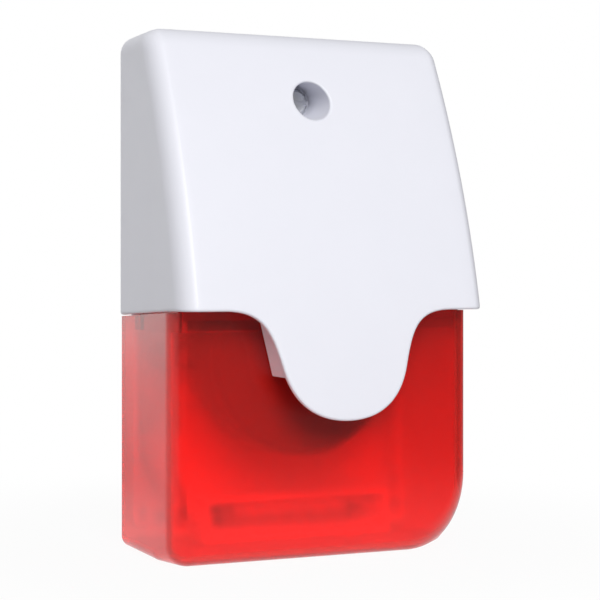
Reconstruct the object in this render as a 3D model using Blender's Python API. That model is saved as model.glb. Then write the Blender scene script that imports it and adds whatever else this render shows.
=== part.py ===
"""Indoor wall siren with a strobe.

A tray is screwed to the wall and carries the board, the piezo horn and the flash unit. A white cover with
a hood for the sound outlet and a red lens below it are screwed together, hook on the bottom of the tray,
and are held by one captive screw near the top.

Sizes are in millimetres. X runs to the right, Y into the wall and Z up. Heights below count from the
siren's lowest point; the finished model's origin is on the wall face, at half its height.
"""
import math

import bpy
import bmesh
from mathutils import Matrix, Vector

MM = 0.001

# Fits
SEAT = 0.3            # gap between two pieces that rest on each other
SLIP = 0.4            # gap round a piece that goes into another
WALL_GAP = 0.8        # the cover and the lens stop this far in front of the wall
SINK = 0.6            # how far a boss reaches into the wall that carries it

# Cover
HEIGHT = 122.0
HALF_WIDTH = 37.8
COVER_WALL = 2.0
COVER_EDGE = 57.0     # height of the cover's lower edge at the front
SIDE_DROP = 1.6       # the lower edge is this much lower at the wall
TOP_DEPTH = 20.0      # depth of the front face at the top, before its edge is rounded
FRONT_RISE = 28.0     # extra depth of the front face at the tip of the tongue
FRONT_BULGE = 19.3    # how strongly the front face is curved in side view
FRONT_CORNER = 6.5    # radius of the upright front edges
TOP_EDGE = 4.4        # radius of the edge round the top
SOFFIT = 2.0          # floor of the cover in front of the lens

# Tongue and hood
TONGUE_TIP = 33.5
WAIST_HALF = 14.4     # half width of the tongue where its outline turns from round to flared
WAIST_HEIGHT = 44.4
WAIST_LEAN = math.radians(15)
FLARE_HALF = 28.2     # half width where the flare meets the lower edge
TIP_PULL = 0.55       # shares that shape the outline's round end, waist and flare
WAIST_PULL = 0.63
FLARE_PULL = 0.7
MOUTH_HEIGHT = 42.2   # the side walls of the hood end here
MOUTH_HALF = 11.5     # half width over those walls at their lower end
HOOD_LEAN = math.radians(18)
HOOD_WALL = 1.8

# Lens
LENS_STEP = 0.3       # the cover stands out this far beyond the lens at each side
LENS_HALF = HALF_WIDTH - LENS_STEP
LENS_DEPTH = 36.2
LENS_WALL = 2.0
LENS_EDGE = 5.0       # radius of the edge round the front face
REAR_CORNER = 2.6     # radius of the lower corners at the back
FACE_CORNER = 20.0    # radius of the lower corners at the front
CORNER_START = 22.6   # depth at which the lower corners begin to grow
CORNER_LEAST = 0.8
LIP_WALL = 1.5        # rim of the lens inside the cover
LIP_RISE = 4.0
LIP_ROOT = 4.5        # how far the rim runs down inside the lens
LIP_REAR = 9.0
LIP_FRONT_HALF = 16.0
WINDOW_HALF = MOUTH_HALF - HOOD_WALL   # sound window behind the hood
WINDOW_SILL = MOUTH_HEIGHT + 2.0
WINDOW_HEAD = COVER_EDGE - 2.0

# Hooks at the bottom
HOOK_X = 18.0
HOOK_WIDTH = 8.0
HOOK_THICK = 2.6
HOOK_TIP = 0.6
STRIP_DEPTH = 4.2     # front of the strip of the lens that the hooks hold
SLOT_FRONT = 10.0
SLOT_SIDE = 1.0
PIVOT_DEPTH = 2.5
PIVOT_HEIGHT = 1.0

# Base
BASE_GAP = 1.0        # room round the base inside the cover
BASE_HALF = HALF_WIDTH - COVER_WALL - BASE_GAP
BASE_LOW = 4.6
BASE_TOP = HEIGHT - COVER_WALL - 2 * SEAT
BASE_PLATE = 2.2
BASE_RIM = 6.0
BASE_RIM_WALL = 1.6
BASE_CORNER = 3.0
KEYHOLE_X = BASE_HALF - 5.3
KEYHOLE_HEAD = 3.8
KEYHOLE_NECK = 2.0
KEYHOLE_RUN = 7.0
SLOT_X = BASE_HALF - 6.3
SLOT_Z = 31.0
SLOT_HALF_RUN = 3.0
CABLE_X = BASE_HALF - 5.6
CABLE_HALF_WIDTH = 3.0
CABLE_HALF_RUN = 7.0

# Cover screw
SCREW_RADIUS = 1.75
SCREW_HEAD_RADIUS = 3.5
SCREW_HEAD_RISE = 2.4
SCREW_LENGTH = 5.6
SCREW_PLAY = 0.55
SEAT_DEPTH = 16.0     # depth of the ledge that the head rests on
RECESS_RADIUS = 4.3
TUBE_RADIUS = 6.3
POST_TOP = 12.6
POST_RADIUS = 4.5
POST_BORE = 8.6
RETAINER_RADIUS = 3.2
RETAINER_THICK = 0.8
SLOT_CUT_WIDTH = 0.9
SLOT_SHARE = 0.45     # depth of a screw's slot as a share of its head
HEAD_CROWN = 0.75     # flat top of a screw's head as a share of its radius
TIP_SHARE = 0.4       # end of a screw's point as a share of its radius
SCREW_SIDES = 16

# Small screws
SMALL_RADIUS = 1.1
SMALL_HEAD_RADIUS = 2.3
SMALL_HEAD_RISE = 1.6
SMALL_LENGTH = 6.5
BOSS_RADIUS = 3.0

# Lens ears
EAR_X = HALF_WIDTH - 7.8
EAR_Z = COVER_EDGE + 7.0
EAR_HALF = 4.6
EAR_TOP = EAR_Z + 5.0
EAR_LOW = COVER_EDGE - 5.0
EAR_FRONT = 14.0
EAR_THICK = 2.5
EAR_CORNER = 1.5

# Flash unit
FLASH_Z = 8.0
TROUGH_HALF = BASE_HALF - 10.8
TROUGH_RISE = 5.2     # half height of the reflector's mouth
TROUGH_REAR = 9.0
TROUGH_MOUTH = 19.5
TROUGH_WALL = 1.2
FOOT_X = TROUGH_HALF + 5.0
FOOT_HALF = 3.6
FOOT_THICK = 1.8
FOOT_CORNER = 0.5
TUBE_DEPTH = 14.2
FLASH_RADIUS = 2.4
FLASH_HALF = TROUGH_HALF - 4.0
FLASH_SHOULDER = 1.8  # length of the tube's drawn-in ends
FLASH_END = 0.45      # radius of those ends as a share of the tube's
CAP_RADIUS = 1.6
CAP_END = TROUGH_HALF + 2.2

# Horn
DRUM_SIDE = 14.3      # room beside the drum for its lugs, the lens ears and the leads
DRUM_RADIUS = HALF_WIDTH - DRUM_SIDE
DRUM_GAP = 9.3        # room between the reflector and the drum
HORN_Z = FLASH_Z + TROUGH_RISE + DRUM_GAP + DRUM_RADIUS
DRUM_WALL = 1.8
DRUM_REAR = 9.0
DRUM_FRONT = 24.3
LEDGE_DEPTH = 15.0    # rear face of the ledge that the diaphragm lies on
LEDGE_THICK = 2.0
LEDGE_WIDTH = 1.8
DIAPHRAGM_THICK = 0.5
CERAMIC_RADIUS = DRUM_RADIUS - 11.0
CERAMIC_THICK = 0.5
RING_WIDTH = 3.1
DRUM_CHAMFER = 1.5
NOZZLE_HALF = WINDOW_HALF - 2 * SEAT
NOZZLE_LOW = WINDOW_SILL - 1.6
NOZZLE_HIGH = WINDOW_HEAD + SLIP
NOZZLE_WALL = 1.5
NOZZLE_CORNER = 1.5
LUG_X = DRUM_RADIUS + 4.0
LUG_Z = EAR_LOW - 6.0
LUG_RADIUS = 3.4
LUG_THICK = 2.6

# Board
BOARD_HALF = 24.5
BOARD_LOW = HORN_Z + DRUM_RADIUS + 5.5
BOARD_TOP = HEIGHT - 5.0
ROW_COUNT = 42        # the parts on the board are laid out on a grid of rows and columns
COLUMN_COUNT = 49
ROW = (BOARD_TOP - BOARD_LOW) / ROW_COUNT
COLUMN = 2 * BOARD_HALF / COLUMN_COUNT
BOARD_REAR = 8.0
BOARD_THICK = 1.6
BOARD_CORNER = 1.5
BOARD_HOLE_EDGE = 3.5  # the board's holes are this far from its upper and lower edges
BOARD_HOLE_X = BOARD_HALF - 3.0
BOARD_HOLE_LOW = BOARD_LOW + BOARD_HOLE_EDGE
BOARD_HOLE_TOP = BOARD_TOP - BOARD_HOLE_EDGE
SCREW_Z = BOARD_TOP - 11 * ROW
KEYHOLE_Z = BOARD_LOW + 23 * ROW
CABLE_Z = BOARD_LOW + 2 * ROW

# Parts on the board
TERMINAL_LEFT = -16 * COLUMN
TERMINAL_PITCH = 5 * COLUMN
TERMINAL_COUNT = 4
TERMINAL_LOW = BOARD_LOW + 1.5 * ROW
TERMINAL_TALL = 8 * ROW
TERMINAL_RISE = 10.0
TERMINAL_STEP = 4.0
TERMINAL_SCREW_RADIUS = 1.6
TERMINAL_SCREW_HEAD = 1.2
TERMINAL_ENTRY = 1.6
SWITCH_X = 14 * COLUMN
SWITCH_Z = BOARD_LOW + 8 * ROW
SWITCH_HALF = 3.8 * ROW
SWITCH_CORNER = 0.8
SWITCH_RISE = 6.2
PLUNGER_RADIUS = 1.7
PLUNGER_REACH = 4.8
PLUNGER_HIDDEN = 2.5
PLUNGER_TRAVEL = 2.0
PUSHER_RADIUS = 2.4
COIL_X = 15.5 * COLUMN
COIL_Z = BOARD_LOW + 25 * ROW
COIL_HALF_WIDTH = 4.5
COIL_HALF_TALL = 6 * ROW
COIL_CORNER = 1.5
COIL_RISE = 10.2
CORE_LEG = 2.6
CORE_HALF_TALL = 4.6 * ROW
CORE_CAP = 2.4
STROBE_CAP_X = -15.5 * COLUMN
STROBE_CAP_Z = BOARD_LOW + 24.5 * ROW
STROBE_CAP_RADIUS = 5.0
STROBE_CAP_HALF = 9.5 * ROW
FILTER_CAP_X = 5.5 * COLUMN
FILTER_CAP_Z = BOARD_LOW + 16 * ROW
FILTER_CAP_RADIUS = 3.2 * ROW
FILTER_CAP_RISE = 11.0
CAN_EDGE = 0.5        # size of the rolled edges and the groove of a can
CHIP_X = -4.5 * COLUMN
CHIP_Z = BOARD_LOW + 20 * ROW
CHIP_HALF_WIDTH = 4.8 * COLUMN
CHIP_HALF_TALL = 3.2 * ROW
CHIP_RISE = 3.4
CHIP_MARK = 0.9       # radius of the notch at one end
TRANSISTOR_X = -4 * COLUMN
TRANSISTOR_Z = BOARD_LOW + 13 * ROW
TRANSISTOR_RADIUS = 2.4 * ROW
TRANSISTOR_RISE = 4.6
TRIGGER_X = 16 * COLUMN
TRIGGER_Z = BOARD_LOW + 15.5 * ROW
TRIGGER_RADIUS = 2.4 * ROW
TRIGGER_HALF = 4.5

# Leads
LEAD_RADIUS = 0.6
LEAD_DEPTH = BASE_PLATE + 2.0
LEAD_SIDE = BASE_HALF - BASE_RIM_WALL - LEAD_RADIUS - 0.5
LEAD_PAD = BOARD_LOW + 4.7   # height of the pads that the leads end on
RED_X = 5.0
RED_PAD_X = 8.5 * COLUMN
BLACK_PAD_X = -4.8 * COLUMN
STROBE_PAD_X = 15 * COLUMN
LEAD_STEPS = 4        # points on each stretch of a lead's smooth curve

SMOOTH_ANGLE = math.radians(35)
SIDES = ((-1, "left"), (1, "right"))

WHITE = ("white plastic", (0.82, 0.82, 0.86), 0.38, 0.0)
RED = ("red clear plastic", (0.72, 0.02, 0.025), 0.12, 0.0)
DARK = ("dark plastic", (0.05, 0.05, 0.055), 0.5, 0.0)
STEEL = ("zinc steel", (0.62, 0.63, 0.65), 0.3, 1.0)
BRASS = ("brass", (0.75, 0.56, 0.25), 0.3, 1.0)
CERAMIC = ("silvered ceramic", (0.78, 0.77, 0.74), 0.4, 0.2)
BOARD = ("board", (0.05, 0.24, 0.1), 0.45, 0.0)
BLUE = ("terminal plastic", (0.05, 0.17, 0.4), 0.45, 0.0)
FERRITE = ("ferrite", (0.09, 0.09, 0.1), 0.6, 0.0)
TAPE = ("winding tape", (0.75, 0.6, 0.12), 0.45, 0.0)
SLEEVE = ("capacitor sleeve", (0.06, 0.07, 0.16), 0.35, 0.0)
MIRROR = ("metallised plastic", (0.85, 0.85, 0.86), 0.12, 1.0)
GLASS = ("glass", (0.85, 0.88, 0.9), 0.05, 0.0)
LEAD_RED = ("red lead", (0.55, 0.03, 0.03), 0.5, 0.0)
LEAD_BLACK = ("black lead", (0.03, 0.03, 0.03), 0.5, 0.0)


# Shape tools

def world(point):
    """A place in the finished model, in metres, from a place in millimetres above the lowest point."""
    x, y, z = point
    return Vector((x, y, z - HEIGHT / 2)) * MM


def finish(name, mesh, look=None):
    """Make an object of a mesh; a look is a material's name, colour, roughness and metallic value."""
    obj = bpy.data.objects.new(name, mesh)
    bpy.context.scene.collection.objects.link(obj)
    if look:
        dress(obj, look)
    return obj


def dress(obj, look):
    label, colour, roughness, metallic = look
    material = bpy.data.materials.new(f"{obj.name} {label}")
    material.use_nodes = True
    shader = material.node_tree.nodes["Principled BSDF"]
    shader.inputs["Base Color"].default_value = (*colour, 1.0)
    shader.inputs["Roughness"].default_value = roughness
    shader.inputs["Metallic"].default_value = metallic
    obj.data.materials.clear()
    obj.data.materials.append(material)
    obj.data.shade_smooth()
    obj.data.set_sharp_from_angle(angle=SMOOTH_ANGLE)


def loft(name, rings, look=None, closed=False):
    """Skin rings of equal point counts, and cap the ends unless the rings close on themselves."""
    bm = bmesh.new()
    loops = [[bm.verts.new(world(point)) for point in ring] for ring in rings]
    pairs = list(zip(loops, loops[1:]))
    if closed:
        pairs.append((loops[-1], loops[0]))
    for near, far in pairs:
        for i in range(len(near)):
            j = (i + 1) % len(near)
            bm.faces.new((near[i], near[j], far[j], far[i]))
    if not closed:
        bm.faces.new(loops[0])
        bm.faces.new(loops[-1])
    bmesh.ops.recalc_face_normals(bm, faces=bm.faces)
    mesh = bpy.data.meshes.new(name)
    bm.to_mesh(mesh)
    bm.free()
    return finish(name, mesh, look)


def placed(axis, first, second, along):
    """A point from its place on a section and along an axis; sections lie in YZ, XZ or XY."""
    if axis == "X":
        return (along, first, second)
    if axis == "Y":
        return (first, along, second)
    return (first, second, along)


def prism(name, axis, outline, start, end, look=None):
    return loft(name, [[placed(axis, u, v, along) for u, v in outline] for along in (start, end)], look)


def box(name, low, high, look=None):
    outline = rectangle(low[0], low[1], high[0], high[1])
    return prism(name, "Z", outline, low[2], high[2], look)


def turned(name, axis, centre, profile, sides, look=None, closed=False):
    """Turn a profile of (radius, along) pairs about an axis through centre, a place on the section."""
    rings = []
    for radius, along in profile:
        ring = []
        for i in range(sides):
            angle = math.tau * (i + 0.5) / sides
            u = centre[0] + radius * math.cos(angle)
            v = centre[1] + radius * math.sin(angle)
            ring.append(placed(axis, u, v, along))
        rings.append(ring)
    return loft(name, rings, look, closed)


def rod(name, axis, centre, radius, start, end, sides=20, look=None):
    return turned(name, axis, centre, [(radius, start), (radius, end)], sides, look)


def combine(obj, tools, operation):
    """Apply Booleans one by one and drop the tools."""
    for tool in tools:
        modifier = obj.modifiers.new(operation, "BOOLEAN")
        modifier.operation = operation
        modifier.solver = "EXACT"
        modifier.object = tool
        graph = bpy.context.evaluated_depsgraph_get()
        mesh = bpy.data.meshes.new_from_object(obj.evaluated_get(graph))
        obj.modifiers.clear()
        obj.data = mesh
        bpy.data.objects.remove(tool)
    return obj


def cut(obj, *tools):
    return combine(obj, tools, "DIFFERENCE")


def join(obj, *tools):
    return combine(obj, tools, "UNION")


def common(obj, *tools):
    return combine(obj, tools, "INTERSECT")


def set_origin(obj, point):
    """Put an object's origin on a point and leave its shape where it is."""
    spot = world(point)
    obj.data.transform(Matrix.Translation(-spot))
    obj.location = spot


# Outlines

def rectangle(left, low, right, high):
    return [(left, low), (right, low), (right, high), (left, high)]


def arc(centre, radius, start, end, steps):
    """Points on an arc between two angles in degrees."""
    points = []
    for i in range(steps + 1):
        angle = math.radians(start + (end - start) * i / steps)
        points.append((centre[0] + radius * math.cos(angle), centre[1] + radius * math.sin(angle)))
    return points


def rounded(left, low, right, high, radius, steps=4):
    points = arc((right - radius, low + radius), radius, -90, 0, steps)
    points += arc((right - radius, high - radius), radius, 0, 90, steps)
    points += arc((left + radius, high - radius), radius, 90, 180, steps)
    points += arc((left + radius, low + radius), radius, 180, 270, steps)
    return points


def bezier(start, first, second, end, steps):
    points = []
    for i in range(steps + 1):
        t = i / steps
        weights = ((1 - t) ** 3, 3 * t * (1 - t) ** 2, 3 * t * t * (1 - t), t ** 3)
        corners = (start, first, second, end)
        points.append(tuple(sum(w * c[k] for w, c in zip(weights, corners)) for k in (0, 1)))
    return points


def tongue_outline(top):
    """The tongue from the front: a round end, a waist and a flare into the lower edge."""
    tip = (0.0, TONGUE_TIP)
    waist = (WAIST_HALF, WAIST_HEIGHT)
    flare = (FLARE_HALF, COVER_EDGE + SEAT)
    tip_pull = TIP_PULL * waist[0]
    waist_pull = WAIST_PULL * (waist[1] - tip[1])
    flare_pull = FLARE_PULL * (flare[1] - waist[1])
    lean = (math.sin(WAIST_LEAN), math.cos(WAIST_LEAN))
    below = (waist[0] - waist_pull * lean[0], waist[1] - waist_pull * lean[1])
    above = (waist[0] + flare_pull * lean[0], waist[1] + flare_pull * lean[1])
    right = bezier(tip, (tip_pull, tip[1]), below, waist, 7)
    right += bezier(waist, above, (flare[0] - flare_pull, flare[1]), flare, 7)[1:]
    right.append((flare[0], top))
    left = [(-x, z) for x, z in reversed(right[1:])]
    return right + left


def front_depth(height):
    """Depth of the cover's front face, a curve that flattens towards the tongue."""
    t = (HEIGHT - height) / (HEIGHT - TONGUE_TIP)
    return TOP_DEPTH + FRONT_RISE * t + FRONT_BULGE * t * (1 - t)


def edge_height(depth):
    """Height of the cover's lower edge, which drops a little from the lens's front to the wall."""
    return COVER_EDGE - SIDE_DROP * max(1 - depth / LENS_DEPTH, 0.0)


def cover_ring(height, inset, rear):
    """Level section of the cover, open to the wall side at rear."""
    half = HALF_WIDTH - inset
    depth = front_depth(height) - inset
    corner = max(FRONT_CORNER - inset, 1.0)
    right = arc((half - corner, corner - depth), corner, 0, -90, 6)
    left = [(-x, y) for x, y in reversed(right)]
    return [(x, y, height) for x, y in [(half, rear)] + right + left + [(-half, rear)]]


def lens_ring(depth, inset, rise):
    """Upright section of the lens at a depth; its lower corners grow and its edges turn in at the front."""
    front = LENS_DEPTH - inset
    edge = LENS_EDGE - inset
    past = max(depth - (front - edge), 0.0)
    turn = edge - math.sqrt(max(edge * edge - past * past, 0.0))
    growth = min(max((depth - CORNER_START) / (LENS_DEPTH - CORNER_START), 0.0), 1.0)
    corner = REAR_CORNER + (FACE_CORNER - REAR_CORNER) * growth
    corner = max(corner - inset - turn, CORNER_LEAST)
    half = LENS_HALF - inset - turn
    low = inset + turn
    top = edge_height(max(depth, 0.0)) - SEAT + rise
    right = arc((half - corner, low + corner), corner, 0, -90, 7)
    left = [(-x, z) for x, z in reversed(right)]
    return [(x, -depth, z) for x, z in [(half, top)] + right + left + [(-half, top)]]


def steps_between(start, end, count):
    return [start + (end - start) * i / count for i in range(count + 1)]


# Screws

def screw(name, x, z, seat, length, radius, head_radius, head_rise, look, into=1):
    """A slotted screw with the flat side of its head at depth seat; into is 1 towards the wall, -1 away."""
    front = -seat - into * head_rise
    tip = -seat + into * length
    profile = [(HEAD_CROWN * head_radius, front), (head_radius, front + into * SLOT_SHARE * head_rise),
               (head_radius, -seat), (radius, -seat), (radius, tip - into * radius),
               (TIP_SHARE * radius, tip)]
    body = turned(name, "Y", (x, z), profile, SCREW_SIDES)
    reach = head_radius + SINK
    start, end = sorted((front - into * SINK, front + into * SLOT_SHARE * head_rise))
    low, high = z - SLOT_CUT_WIDTH / 2, z + SLOT_CUT_WIDTH / 2
    cut(body, box("slot", (x - reach, start, low), (x + reach, end, high)))
    dress(body, look)
    return body


def small_screw(name, x, z, seat, into=1):
    sizes = (SMALL_LENGTH, SMALL_RADIUS, SMALL_HEAD_RADIUS, SMALL_HEAD_RISE)
    return screw(name, x, z, seat, *sizes, STEEL, into)


def pilot(x, z, top, depth):
    """Cutter for a small screw's hole in a boss whose end is at depth top."""
    return rod("pilot", "Y", (x, z), SMALL_RADIUS + SEAT, -top - SINK, -top + depth, 14)


# Cover and lens

def cover_shape(low, high, inset, rear):
    heights = steps_between(low, high, 12)
    return [cover_ring(height, inset, rear) for height in heights]


def build_cover():
    low = TONGUE_TIP - 2.0
    rings = cover_shape(low, HEIGHT - TOP_EDGE, 0.0, -WALL_GAP)
    for angle in (25, 50, 70, 90):
        turn = math.radians(angle)
        height = HEIGHT - TOP_EDGE * (1 - math.sin(turn))
        rings.append(cover_ring(height, TOP_EDGE * (1 - math.cos(turn)), -WALL_GAP))
    cover = loft("front_cover", rings)
    far = 2 * HALF_WIDTH
    over = HEIGHT + SINK
    rear_edge = edge_height(0.0)
    outline = [(-far, COVER_EDGE), (-LENS_DEPTH, COVER_EDGE), (0.0, rear_edge), (0.0, over), (-far, over)]
    kept = prism("kept", "X", outline, -far, far)
    hood_rear = LENS_DEPTH + SEAT
    join(kept, prism("tongue", "Y", tongue_outline(COVER_EDGE + SOFFIT / 2), -far, -hood_rear))
    common(cover, kept)

    ceiling = HEIGHT - COVER_WALL
    floor = COVER_EDGE + SOFFIT
    cavity = loft("cavity", cover_shape(floor, ceiling, COVER_WALL, far))
    opening_half = HALF_WIDTH - COVER_WALL
    opening_front = -(LENS_DEPTH - LENS_WALL)
    opening_low, opening_top = rear_edge - SINK, floor + SINK
    opening = box("opening", (-opening_half, opening_front, opening_low), (opening_half, far, opening_top))
    hood_top = COVER_EDGE - SOFFIT / 2
    hood_space = loft("hood space", cover_shape(low - SOFFIT, hood_top, COVER_WALL, far))
    for side in (-1, 1):
        lean = (COVER_EDGE - MOUTH_HEIGHT) * math.tan(HOOD_LEAN)
        outline = [(MOUTH_HALF - HOOD_WALL, MOUTH_HEIGHT), (MOUTH_HALF, MOUTH_HEIGHT),
                   (MOUTH_HALF + lean, COVER_EDGE), (MOUTH_HALF - HOOD_WALL + lean, COVER_EDGE)]
        cut(hood_space, prism("hood wall", "Y", [(side * x, z) for x, z in outline], -far, 2 * far))
    cut(cover, cavity, opening, hood_space)

    join(cover, *cover_bosses())
    cut(cover, *cover_bores())
    dress(cover, WHITE)
    return cover


def inner_front(height):
    """Depth of the cover's front wall just inside its inner face."""
    return front_depth(height) - COVER_WALL + SINK


def cover_bosses():
    tube_end = POST_TOP + SEAT
    top_of_tube = inner_front(SCREW_Z + TUBE_RADIUS)
    bosses = [rod("tube", "Y", (0.0, SCREW_Z), TUBE_RADIUS, -top_of_tube, -tube_end, 24)]
    for side in (-1, 1):
        reach = inner_front(EAR_Z + BOSS_RADIUS)
        bosses.append(rod("boss", "Y", (side * EAR_X, EAR_Z), BOSS_RADIUS, -reach, -EAR_FRONT - SEAT, 16))
    plunger_tip = BOARD_REAR + BOARD_THICK + SEAT + SWITCH_RISE + PLUNGER_REACH
    pusher_end = plunger_tip + SEAT
    pusher_reach = inner_front(SWITCH_Z + PUSHER_RADIUS)
    bosses.append(rod("pusher", "Y", (SWITCH_X, SWITCH_Z), PUSHER_RADIUS, -pusher_reach, -pusher_end, 14))
    return bosses


def cover_bores():
    tube_end = POST_TOP + SEAT
    bores = [rod("recess", "Y", (0.0, SCREW_Z), RECESS_RADIUS, -2 * HALF_WIDTH, -SEAT_DEPTH, 28)]
    centre = (0.0, SCREW_Z)
    bores.append(rod("hole", "Y", centre, SCREW_RADIUS + SEAT, -SEAT_DEPTH - SINK, -tube_end + SINK))
    retainer_bed = tube_end + RETAINER_THICK + SEAT
    bores.append(rod("bed", "Y", centre, RETAINER_RADIUS + SEAT, -retainer_bed, -tube_end + SINK))
    boss_end = EAR_FRONT + SEAT
    for side in (-1, 1):
        centre = (side * EAR_X, EAR_Z)
        start, end = -boss_end - SMALL_LENGTH, -boss_end + SINK
        bores.append(rod("pilot", "Y", centre, SMALL_RADIUS + SEAT, start, end, 14))
    return bores


def lens_depths(front, edge):
    flat = steps_between(CORNER_START, front - edge, 4)
    turned_in = [front - edge + edge * math.sin(math.radians(angle)) for angle in (20, 40, 60, 77, 90)]
    return flat + turned_in


def build_lens():
    top = COVER_EDGE - SEAT
    outer = [WALL_GAP] + lens_depths(LENS_DEPTH, LENS_EDGE)
    lens = loft("strobe_lens", [lens_ring(depth, 0.0, 0.0) for depth in outer])
    inner_front_depth = LENS_DEPTH - LENS_WALL
    inner = [-LENS_WALL] + lens_depths(inner_front_depth, LENS_EDGE - LENS_WALL)
    cut(lens, loft("space", [lens_ring(depth, LENS_WALL, LIP_RISE) for depth in inner]))
    join(lens, *lens_lips(top))
    cut(lens, *lens_cuts())
    dress(lens, RED)
    return lens


def lens_lips(top):
    """Side rims that slide into the cover, with the screw ears on them."""
    outer = HALF_WIDTH - COVER_WALL - SEAT
    inner = outer - LIP_WALL
    front = LENS_DEPTH - LENS_WALL - SEAT
    pieces = []
    for side in (-1, 1):
        outline = [(side * outer, -LIP_REAR), (side * outer, -front), (side * LIP_FRONT_HALF, -front),
                   (side * LIP_FRONT_HALF, -front + LIP_WALL), (side * inner, -front + LIP_WALL),
                   (side * inner, -LIP_REAR)]
        rim = prism("rim", "Z", outline, top - LIP_ROOT, top + LIP_RISE)
        in_wall, in_front = LENS_HALF - LENS_WALL / 2, -LENS_DEPTH + LENS_WALL / 2
        root = [(in_wall, -LIP_REAR - SEAT), (inner + SEAT, -LIP_REAR - SEAT),
                (inner + SEAT, -front + LIP_WALL - SEAT), (LIP_FRONT_HALF + SEAT, -front + LIP_WALL - SEAT),
                (LIP_FRONT_HALF + SEAT, in_front), (LENS_HALF - LENS_EDGE, in_front),
                (in_wall, -LENS_DEPTH + LENS_EDGE)]
        root = [(side * x, y) for x, y in root]
        join(rim, prism("root", "Z", root, top - LIP_ROOT + SEAT, top - SIDE_DROP - SEAT))
        left, right = sorted((side * (EAR_X - EAR_HALF), side * (outer - SEAT)))
        outline = rounded(left, EAR_LOW - SEAT, right, EAR_TOP, EAR_CORNER)
        join(rim, prism("ear", "Y", outline, -EAR_FRONT, -EAR_FRONT + EAR_THICK))
        pieces.append(rim)
    return pieces


def lens_cuts():
    outside, inside = -LENS_DEPTH - SINK, -LENS_DEPTH + LENS_WALL + SINK
    cuts = [box("window", (-WINDOW_HALF, outside, WINDOW_SILL), (WINDOW_HALF, inside, WINDOW_HEAD))]
    half = HOOK_WIDTH / 2 + SLOT_SIDE
    for side in (-1, 1):
        x = side * HOOK_X
        cuts.append(box("slot", (x - half, -SLOT_FRONT, -SINK), (x + half, -STRIP_DEPTH, LENS_WALL + SINK)))
        start, end = -EAR_FRONT - SINK, -EAR_FRONT + EAR_THICK + SINK
        cuts.append(rod("ear hole", "Y", (side * EAR_X, EAR_Z), SMALL_RADIUS + SEAT, start, end, 14))
    return cuts


def build_cover_screw():
    seat = SEAT_DEPTH + SEAT
    sizes = (SCREW_LENGTH, SCREW_RADIUS, SCREW_HEAD_RADIUS, SCREW_HEAD_RISE)
    turn = screw("cover_screw", 0.0, SCREW_Z, seat, *sizes, STEEL)
    set_origin(turn, (0.0, -seat, SCREW_Z))
    inner = SCREW_RADIUS + SEAT
    rear = -POST_TOP - 2 * SEAT
    front = rear - RETAINER_THICK
    profile = [(RETAINER_RADIUS, front), (RETAINER_RADIUS, rear), (inner, rear), (inner, front)]
    retainer = turned("screw_retainer", "Y", (0.0, SCREW_Z), profile, 20, DARK, closed=True)
    return [turn, retainer]


def build_lens_screws():
    """These go in from the wall side."""
    seat = EAR_FRONT - EAR_THICK - SEAT
    return [small_screw(f"lens_screw_{word}", side * EAR_X, EAR_Z, seat, into=-1) for side, word in SIDES]


# Base

def base_hook(x):
    top = BASE_LOW + SEAT + HOOK_THICK
    low = BASE_LOW + SEAT
    front = -SLOT_FRONT + SLOT_SIDE + SLIP
    outline = [(-STRIP_DEPTH, low), (-STRIP_DEPTH, top), (front, top), (front, HOOK_TIP),
               (front + HOOK_THICK, HOOK_TIP), (front + HOOK_THICK, low)]
    return prism("hook", "X", outline, x - HOOK_WIDTH / 2, x + HOOK_WIDTH / 2)


def base_posts():
    """Centre, top depth and radius of each post on the base."""
    posts = [((0.0, SCREW_Z), POST_TOP, POST_RADIUS)]
    for side in (-1, 1):
        posts.append(((side * BOARD_HOLE_X, BOARD_HOLE_LOW), BOARD_REAR - SEAT, BOSS_RADIUS))
        posts.append(((side * BOARD_HOLE_X, BOARD_HOLE_TOP), BOARD_REAR - SEAT, BOSS_RADIUS))
        posts.append(((side * LUG_X, LUG_Z), DRUM_REAR - SEAT, BOSS_RADIUS))
        posts.append(((side * FOOT_X, FLASH_Z), TROUGH_REAR - SEAT, BOSS_RADIUS))
    return posts


def keyhole(x):
    """Round entry below a narrow slot, so the siren drops on to a wall screw."""
    entry = rod("keyhole", "Y", (x, KEYHOLE_Z), KEYHOLE_HEAD, -BASE_RIM, SINK, 20)
    neck = arc((x, KEYHOLE_Z + KEYHOLE_RUN), KEYHOLE_NECK, 0, 180, 6)
    neck += [(x - KEYHOLE_NECK, KEYHOLE_Z), (x + KEYHOLE_NECK, KEYHOLE_Z)]
    return join(entry, prism("neck", "Y", neck, -BASE_RIM - SINK, 2 * SINK))


def slot_cut(x, z, half_width, half_run):
    outline = rounded(x - half_width, z - half_run, x + half_width, z + half_run, 0.98 * half_width)
    return prism("slot", "Y", outline, -BASE_RIM, SINK)


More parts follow.
